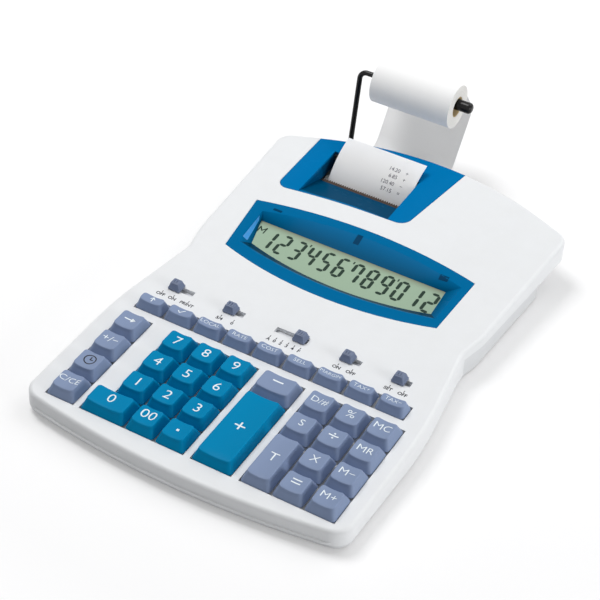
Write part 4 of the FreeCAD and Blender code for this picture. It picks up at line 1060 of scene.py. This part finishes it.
def make_feed_roller():
    low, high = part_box("feed_roller")
    y, z = spin_axis("feed_roller")
    shaft, tyre = SHAFT_RADIUS, ROLLER_RADIUS
    profile = [
        (low.x, AXIS_RADIUS), (low.x, shaft - CHAMFER), (low.x + CHAMFER, shaft),
        (ROLLER_LEFT, shaft), (ROLLER_LEFT, tyre - CHAMFER), (ROLLER_LEFT + CHAMFER, tyre),
        (ROLLER_RIGHT - CHAMFER, tyre), (ROLLER_RIGHT, tyre - CHAMFER), (ROLLER_RIGHT, shaft),
        (high.x - CHAMFER, shaft), (high.x, shaft - CHAMFER), (high.x, AXIS_RADIUS),
    ]
    bm = turned(profile, y, z, ROLLER_SEGMENTS)
    roller = new_piece("feed_roller_rubber", bm, roller_rubber, "feed", 35.0)
    wheel = new_piece("feed_roller_wheel", feed_wheel(y, z), gear_white, "feed")
    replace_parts(roller, "feed_roller")
    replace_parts(wheel, "feed_roller")


make_feed_roller()

# Paper: the wound roll with its card core, and the sums printed on the strip

CORE_RADIUS, CORE_BORE = 7.0 * MM, 6.0 * MM
CORE_INSET = 0.3 * MM
CORE_CHAMFER = 0.1 * MM
LAYERS = 9
LAYER_SLIP, SLIP_TURN = 0.12 * MM, 2.4
WINDING_INSET = 0.15 * MM
ROLL_GAP = 0.02 * MM
ROLL_END = 0.5 * MM
ROLL_SEGMENTS = 128


def make_winding(low, high, y, z):
    """The wound paper, its layers slipped a little sideways, with fine rings on both ends."""
    outer = (high.z - low.z) / 2
    profile = [(low.x, CORE_RADIUS + ROLL_GAP)]
    for step in range(1, LAYERS + 1):
        radius = CORE_RADIUS + (outer - CORE_RADIUS) * step / LAYERS
        slip = LAYER_SLIP * math.sin(step * SLIP_TURN) * (step < LAYERS)
        profile.append((low.x + WINDING_INSET + slip, radius))
    profile += [(high.x - (x - low.x), radius) for x, radius in reversed(profile)]
    bm = turned(profile, y, z, ROLL_SEGMENTS, looped=True)
    winding = new_piece("roll_winding", bm, wound_paper(y, z), "roll", 40.0)
    winding.data.materials.append(paper_white)
    for polygon in winding.data.polygons:
        if low.x + ROLL_END < polygon.center.x < high.x - ROLL_END:
            polygon.material_index = 1
    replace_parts(winding, "paper_roll")


def make_core(low, high, y, z):
    left, right = low.x + CORE_INSET, high.x - CORE_INSET
    bore, core = CORE_BORE + CORE_CHAMFER, CORE_RADIUS - CORE_CHAMFER
    profile = [
        (left, bore), (left, core), (low.x + ROLL_END, CORE_RADIUS), (high.x - ROLL_END, CORE_RADIUS),
        (right, core), (right, bore), (high.x - ROLL_END, CORE_BORE), (low.x + ROLL_END, CORE_BORE),
    ]
    bm = turned(profile, y, z, ROLL_SEGMENTS, looped=True)
    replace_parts(new_piece("roll_core", bm, core_card, "roll", 40.0), "paper_roll")


make_winding(*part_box("paper_roll"), *spin_axis("paper_roll"))
make_core(*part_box("paper_roll"), *spin_axis("paper_roll"))

TAPE_TILT = 42.0
TAPE_PLACE = (0, 100.4 * MM, 28.3 * MM)
TAPE_LINES = [("14.20", "+"), ("6.85", "+"), ("120.40", "−"), ("57.15", "=")]
LINE_PITCH = 4.7 * MM
FIRST_LINE = 9.8 * MM
PRINT_HEIGHT = 3.6 * MM
PRINT_LIFT = 0.03 * MM
NUMBER_END, SIGN_PLACE = -15.6 * MM, -10.6 * MM


def make_print():
    """Sums printed in plain figures down the front of the strip."""
    turn = Matrix.Translation(TAPE_PLACE) @ tilted(TAPE_TILT)
    parts = []
    for row, (number, sign) in enumerate(TAPE_LINES):
        v = FIRST_LINE - row * LINE_PITCH
        figures = text_mesh(number, PRINT_HEIGHT)
        right = max(vertex.co.x for vertex in figures.vertices)
        parts.append((figures, NUMBER_END - right, v))
        parts.append((text_mesh(sign, PRINT_HEIGHT), SIGN_PLACE, v))
    bm = gathered(parts)
    on_surface(bm, height_over("paper_tape", turn), PRINT_LIFT, PRINT_LIFT, rows=True)
    new_piece("tape_print", bm, print_ink, "casing", matrix=turn)


make_print()

# Tear bar, its foot and tip as places in y and z

BAR_LEFT, BAR_RIGHT = -60.5 * MM, -2.6 * MM
BAR_FOOT, BAR_TIP = (88.2 * MM, 19.4 * MM), (90.7 * MM, 21.8 * MM)
BAR_THICKNESS = 0.7 * MM
TIP_SHARES = (0.8, 0.2)
TOOTH = 1.6 * MM
TOOTH_DEPTH = 0.9 * MM


def make_tear_bar():
    """Serrated bar at the foot of the ramp, which the paper is torn against."""
    foot, tip = Vector((0, *BAR_FOOT)), Vector((0, *BAR_TIP))
    along = (tip - foot).normalized()
    square = Vector((0, -along.z, along.y)) * BAR_THICKNESS
    count = round((BAR_RIGHT - BAR_LEFT) / TOOTH) * 2
    rings = []
    for i in range(count + 1):
        across = Vector((BAR_LEFT + (BAR_RIGHT - BAR_LEFT) * i / count, 0, 0))
        reach = tip - along * TOOTH_DEPTH * (i % 2)
        lower, upper = across + foot, across + reach
        rings.append([lower, lower + square] + [upper + square * share for share in TIP_SHARES])
    new_piece("tear_bar", lofted(rings), smoked_brown, "cover", 25.0)


make_tear_bar()

# Painted shadow: a dark patch on the left cheek of the exit, where the inside of the case lies in shade
# behind it

CHEEK = -63.0 * MM
SHADE_SINK, SHADE_LIFT = 0.05 * MM, 0.07 * MM
CHEEK_SHADOW = [(90.6, 28.8), (104.0, 29.6), (103.5, 20.8), (92.4, 20.8), (93.2, 25.0)]


def make_cheek_shade():
    rings = []
    for x in (CHEEK - SHADE_SINK, CHEEK + SHADE_LIFT):
        rings.append([Vector((x, y * MM, z * MM)) for y, z in CHEEK_SHADOW])
    # The painted shadow takes the clips' dark blue
    new_piece("exit_painted_shadow", lofted(rings), tab_blue, "cover")


make_cheek_shade()

# Fine bead that runs along the front wall just above the joint of the two casings

BEAD_HALF = 95.0 * MM
BEAD_FADE = 3.0 * MM
BEAD_LOW, BEAD_HIGH, BEAD_STAND = 4.8 * MM, 6.5 * MM, 1.2 * MM
BEAD_SKIN, BEAD_ROOT = 0.02 * MM, 0.4 * MM
BEAD_STEPS = 80

# Section of the bead: share of its stand, and millimetres from its low edge and from its high one

BEAD_FOOT = [(0.7, 0.15), (1.0, 0.5)]
BEAD_HEAD = [(1.0, -0.45), (0.8, -0.15)]


def front_wall():
    """Where the upper casing's front wall stands, as a function of place across it."""
    tree = search_tree("top_case")
    level = (BEAD_LOW + BEAD_HIGH) / 2
    ahead = cad_box[0].y - 10 * MM

    def wall(x):
        return tree.ray_cast(Vector((x, ahead, level)), Vector((0, 1, 0)))[0].y

    return wall


def make_bead():
    rings = []
    wall = front_wall()
    for i in range(BEAD_STEPS + 1):
        x = BEAD_HALF * (2 * i / BEAD_STEPS - 1)
        y = wall(x)
        stand = BEAD_STAND * min(1.0, (BEAD_HALF - abs(x)) / BEAD_FADE) + BEAD_SKIN
        section = [(y + BEAD_ROOT, BEAD_LOW)]
        section += [(y - stand * share, BEAD_LOW + up * MM) for share, up in BEAD_FOOT]
        section += [(y - stand * share, BEAD_HIGH + up * MM) for share, up in BEAD_HEAD]
        section.append((y + BEAD_ROOT, BEAD_HIGH))
        rings.append([Vector((x, *corner)) for corner in section])
    new_piece("front_bead", lofted(rings), casing_white, "casing", 50.0)


make_bead()

# Stage, light and camera

TARGET = Vector((-22.88, -2.28, 0.0)) * MM
DISTANCE = 1.0715
AZIMUTH, ELEVATION, ROLL = 28.093, 38.718, 3.602
LENS, SENSOR = 105.89, 36.0
AMBIENT = 0.24
FLOOR_RADIUS = 6.0
FLOOR_TONE = (0.72, 0.72, 0.725, 1)

# Where the floor's lift starts and ends, in metres from the middle, and how strong it is there

LIFT_NEAR, LIFT_FAR = 0.25, 1.3
LIFT_LOW, LIFT_HIGH = 0.28, 0.95

# Name, place, width in metres and power in watts

LAMPS = [
    ("key_lamp", (-0.65, 0.1, 1.4), 0.7, 14.0),
    ("rear_lamp", (0.45, 0.9, 1.2), 1.2, 8.0),
    ("right_lamp", (1.5, -0.2, 0.3), 0.7, 11.0),
]


def make_camera():
    azimuth, elevation, roll = (math.radians(angle) for angle in (AZIMUTH, ELEVATION, ROLL))
    level = math.cos(elevation)
    back = Vector((math.sin(azimuth) * level, -math.cos(azimuth) * level, math.sin(elevation)))
    right = (-back).cross(Vector((0, 0, 1))).normalized()
    up = right.cross(-back)
    turned_right = math.cos(roll) * right + math.sin(roll) * up
    turned_up = -math.sin(roll) * right + math.cos(roll) * up
    data = bpy.data.cameras.new("camera")
    data.lens = LENS
    data.sensor_width = SENSOR
    data.clip_start, data.clip_end = 0.05, 50.0
    camera = new_object("camera", data)
    place = Matrix((turned_right, turned_up, back)).transposed().to_4x4()
    place.translation = TARGET + back * DISTANCE
    camera.matrix_world = place
    bpy.context.scene.camera = camera


def seen(n):
    """One for rays from the camera and for those that gloss or glass sends on."""
    path = n.add("ShaderNodeLightPath")
    both = n.math("MAXIMUM", path.outputs["Is Camera Ray"], path.outputs["Is Glossy Ray"])
    return n.math("MAXIMUM", both, path.outputs["Is Transmission Ray"])


def make_floor():
    """Pale floor that fades to white away from the object, and takes shadows near it."""
    made, n = new_material("floor_white")
    grain = n.place(GRAIN, Colour=FLOOR_TONE, Fineness=90.0, Roughness=0.9, Shade=0.01)
    surface = n.add("ShaderNodeBsdfDiffuse", {"Color": grain.outputs["Colour"]})
    place = n.object_place()
    away = n.vector("LENGTH", place, output="Value")
    rise = n.spread(away, LIFT_NEAR, LIFT_FAR, LIFT_LOW, LIFT_HIGH)
    glow = n.product(seen(n), rise)
    lift = n.add("ShaderNodeEmission", {"Color": (1, 1, 1, 1), "Strength": glow})
    both = n.add("ShaderNodeAddShader", {0: surface.outputs[0], 1: lift.outputs[0]})
    n.add("ShaderNodeOutputMaterial", {"Surface": both.outputs[0]})
    bm = bmesh.new()
    bmesh.ops.create_circle(bm, cap_ends=True, segments=96, radius=FLOOR_RADIUS)
    floor = new_object("floor", mesh_of(bm, "floor"))
    floor.data.materials.append(made)


def make_surround():
    """White where it is seen, and dimmer as a light."""
    world = bpy.data.worlds.new("studio")
    bpy.context.scene.world = world
    world.use_nodes = True
    n = Nodes(world.node_tree)
    strength = n.math("MULTIPLY_ADD", seen(n), 1.0 - AMBIENT)
    strength.node.inputs[2].default_value = AMBIENT
    sky = n.add("ShaderNodeBackground", {"Color": (1, 1, 1, 1), "Strength": strength})
    n.add("ShaderNodeOutputWorld", {"Surface": sky.outputs[0]})


def make_lamps():
    for name, place, width, power in LAMPS:
        data = bpy.data.lights.new(name, "AREA")
        data.shape = "SQUARE"
        data.size = width
        data.energy = power
        lamp = new_object(name, data)
        aim = Vector(place).to_track_quat("Z", "Y").to_matrix().to_4x4()
        lamp.matrix_world = Matrix.Translation(place) @ aim


make_camera()
make_floor()
make_surround()
make_lamps()

# Finishes for the solids that are shown as they are

KEPT = {
    "top_case": casing_white, "bottom_case": casing_lower_shaded, "feet": foot_rubber, "screws": screw_steel,
    "display_bezel": bezel_blue, "lcd_panel": display_front, "printer_cover": cover_blue,
    "main_board": board_green, "key_membrane": membrane_grey, "power_jack": jack_black,
    "printer_chassis": chassis_steel, "type_drum": drum_plastic, "ink_roller": ink_felt,
    "roll_arm": arm_black, "paper_tape": paper_sheet,
}
for node, material in KEPT.items():
    mesh = nodes[node].data
    mesh.materials.clear()
    mesh.materials.append(material)

bpy.context.scene.view_settings.view_transform = "Standard"
bpy.context.view_layer.update()
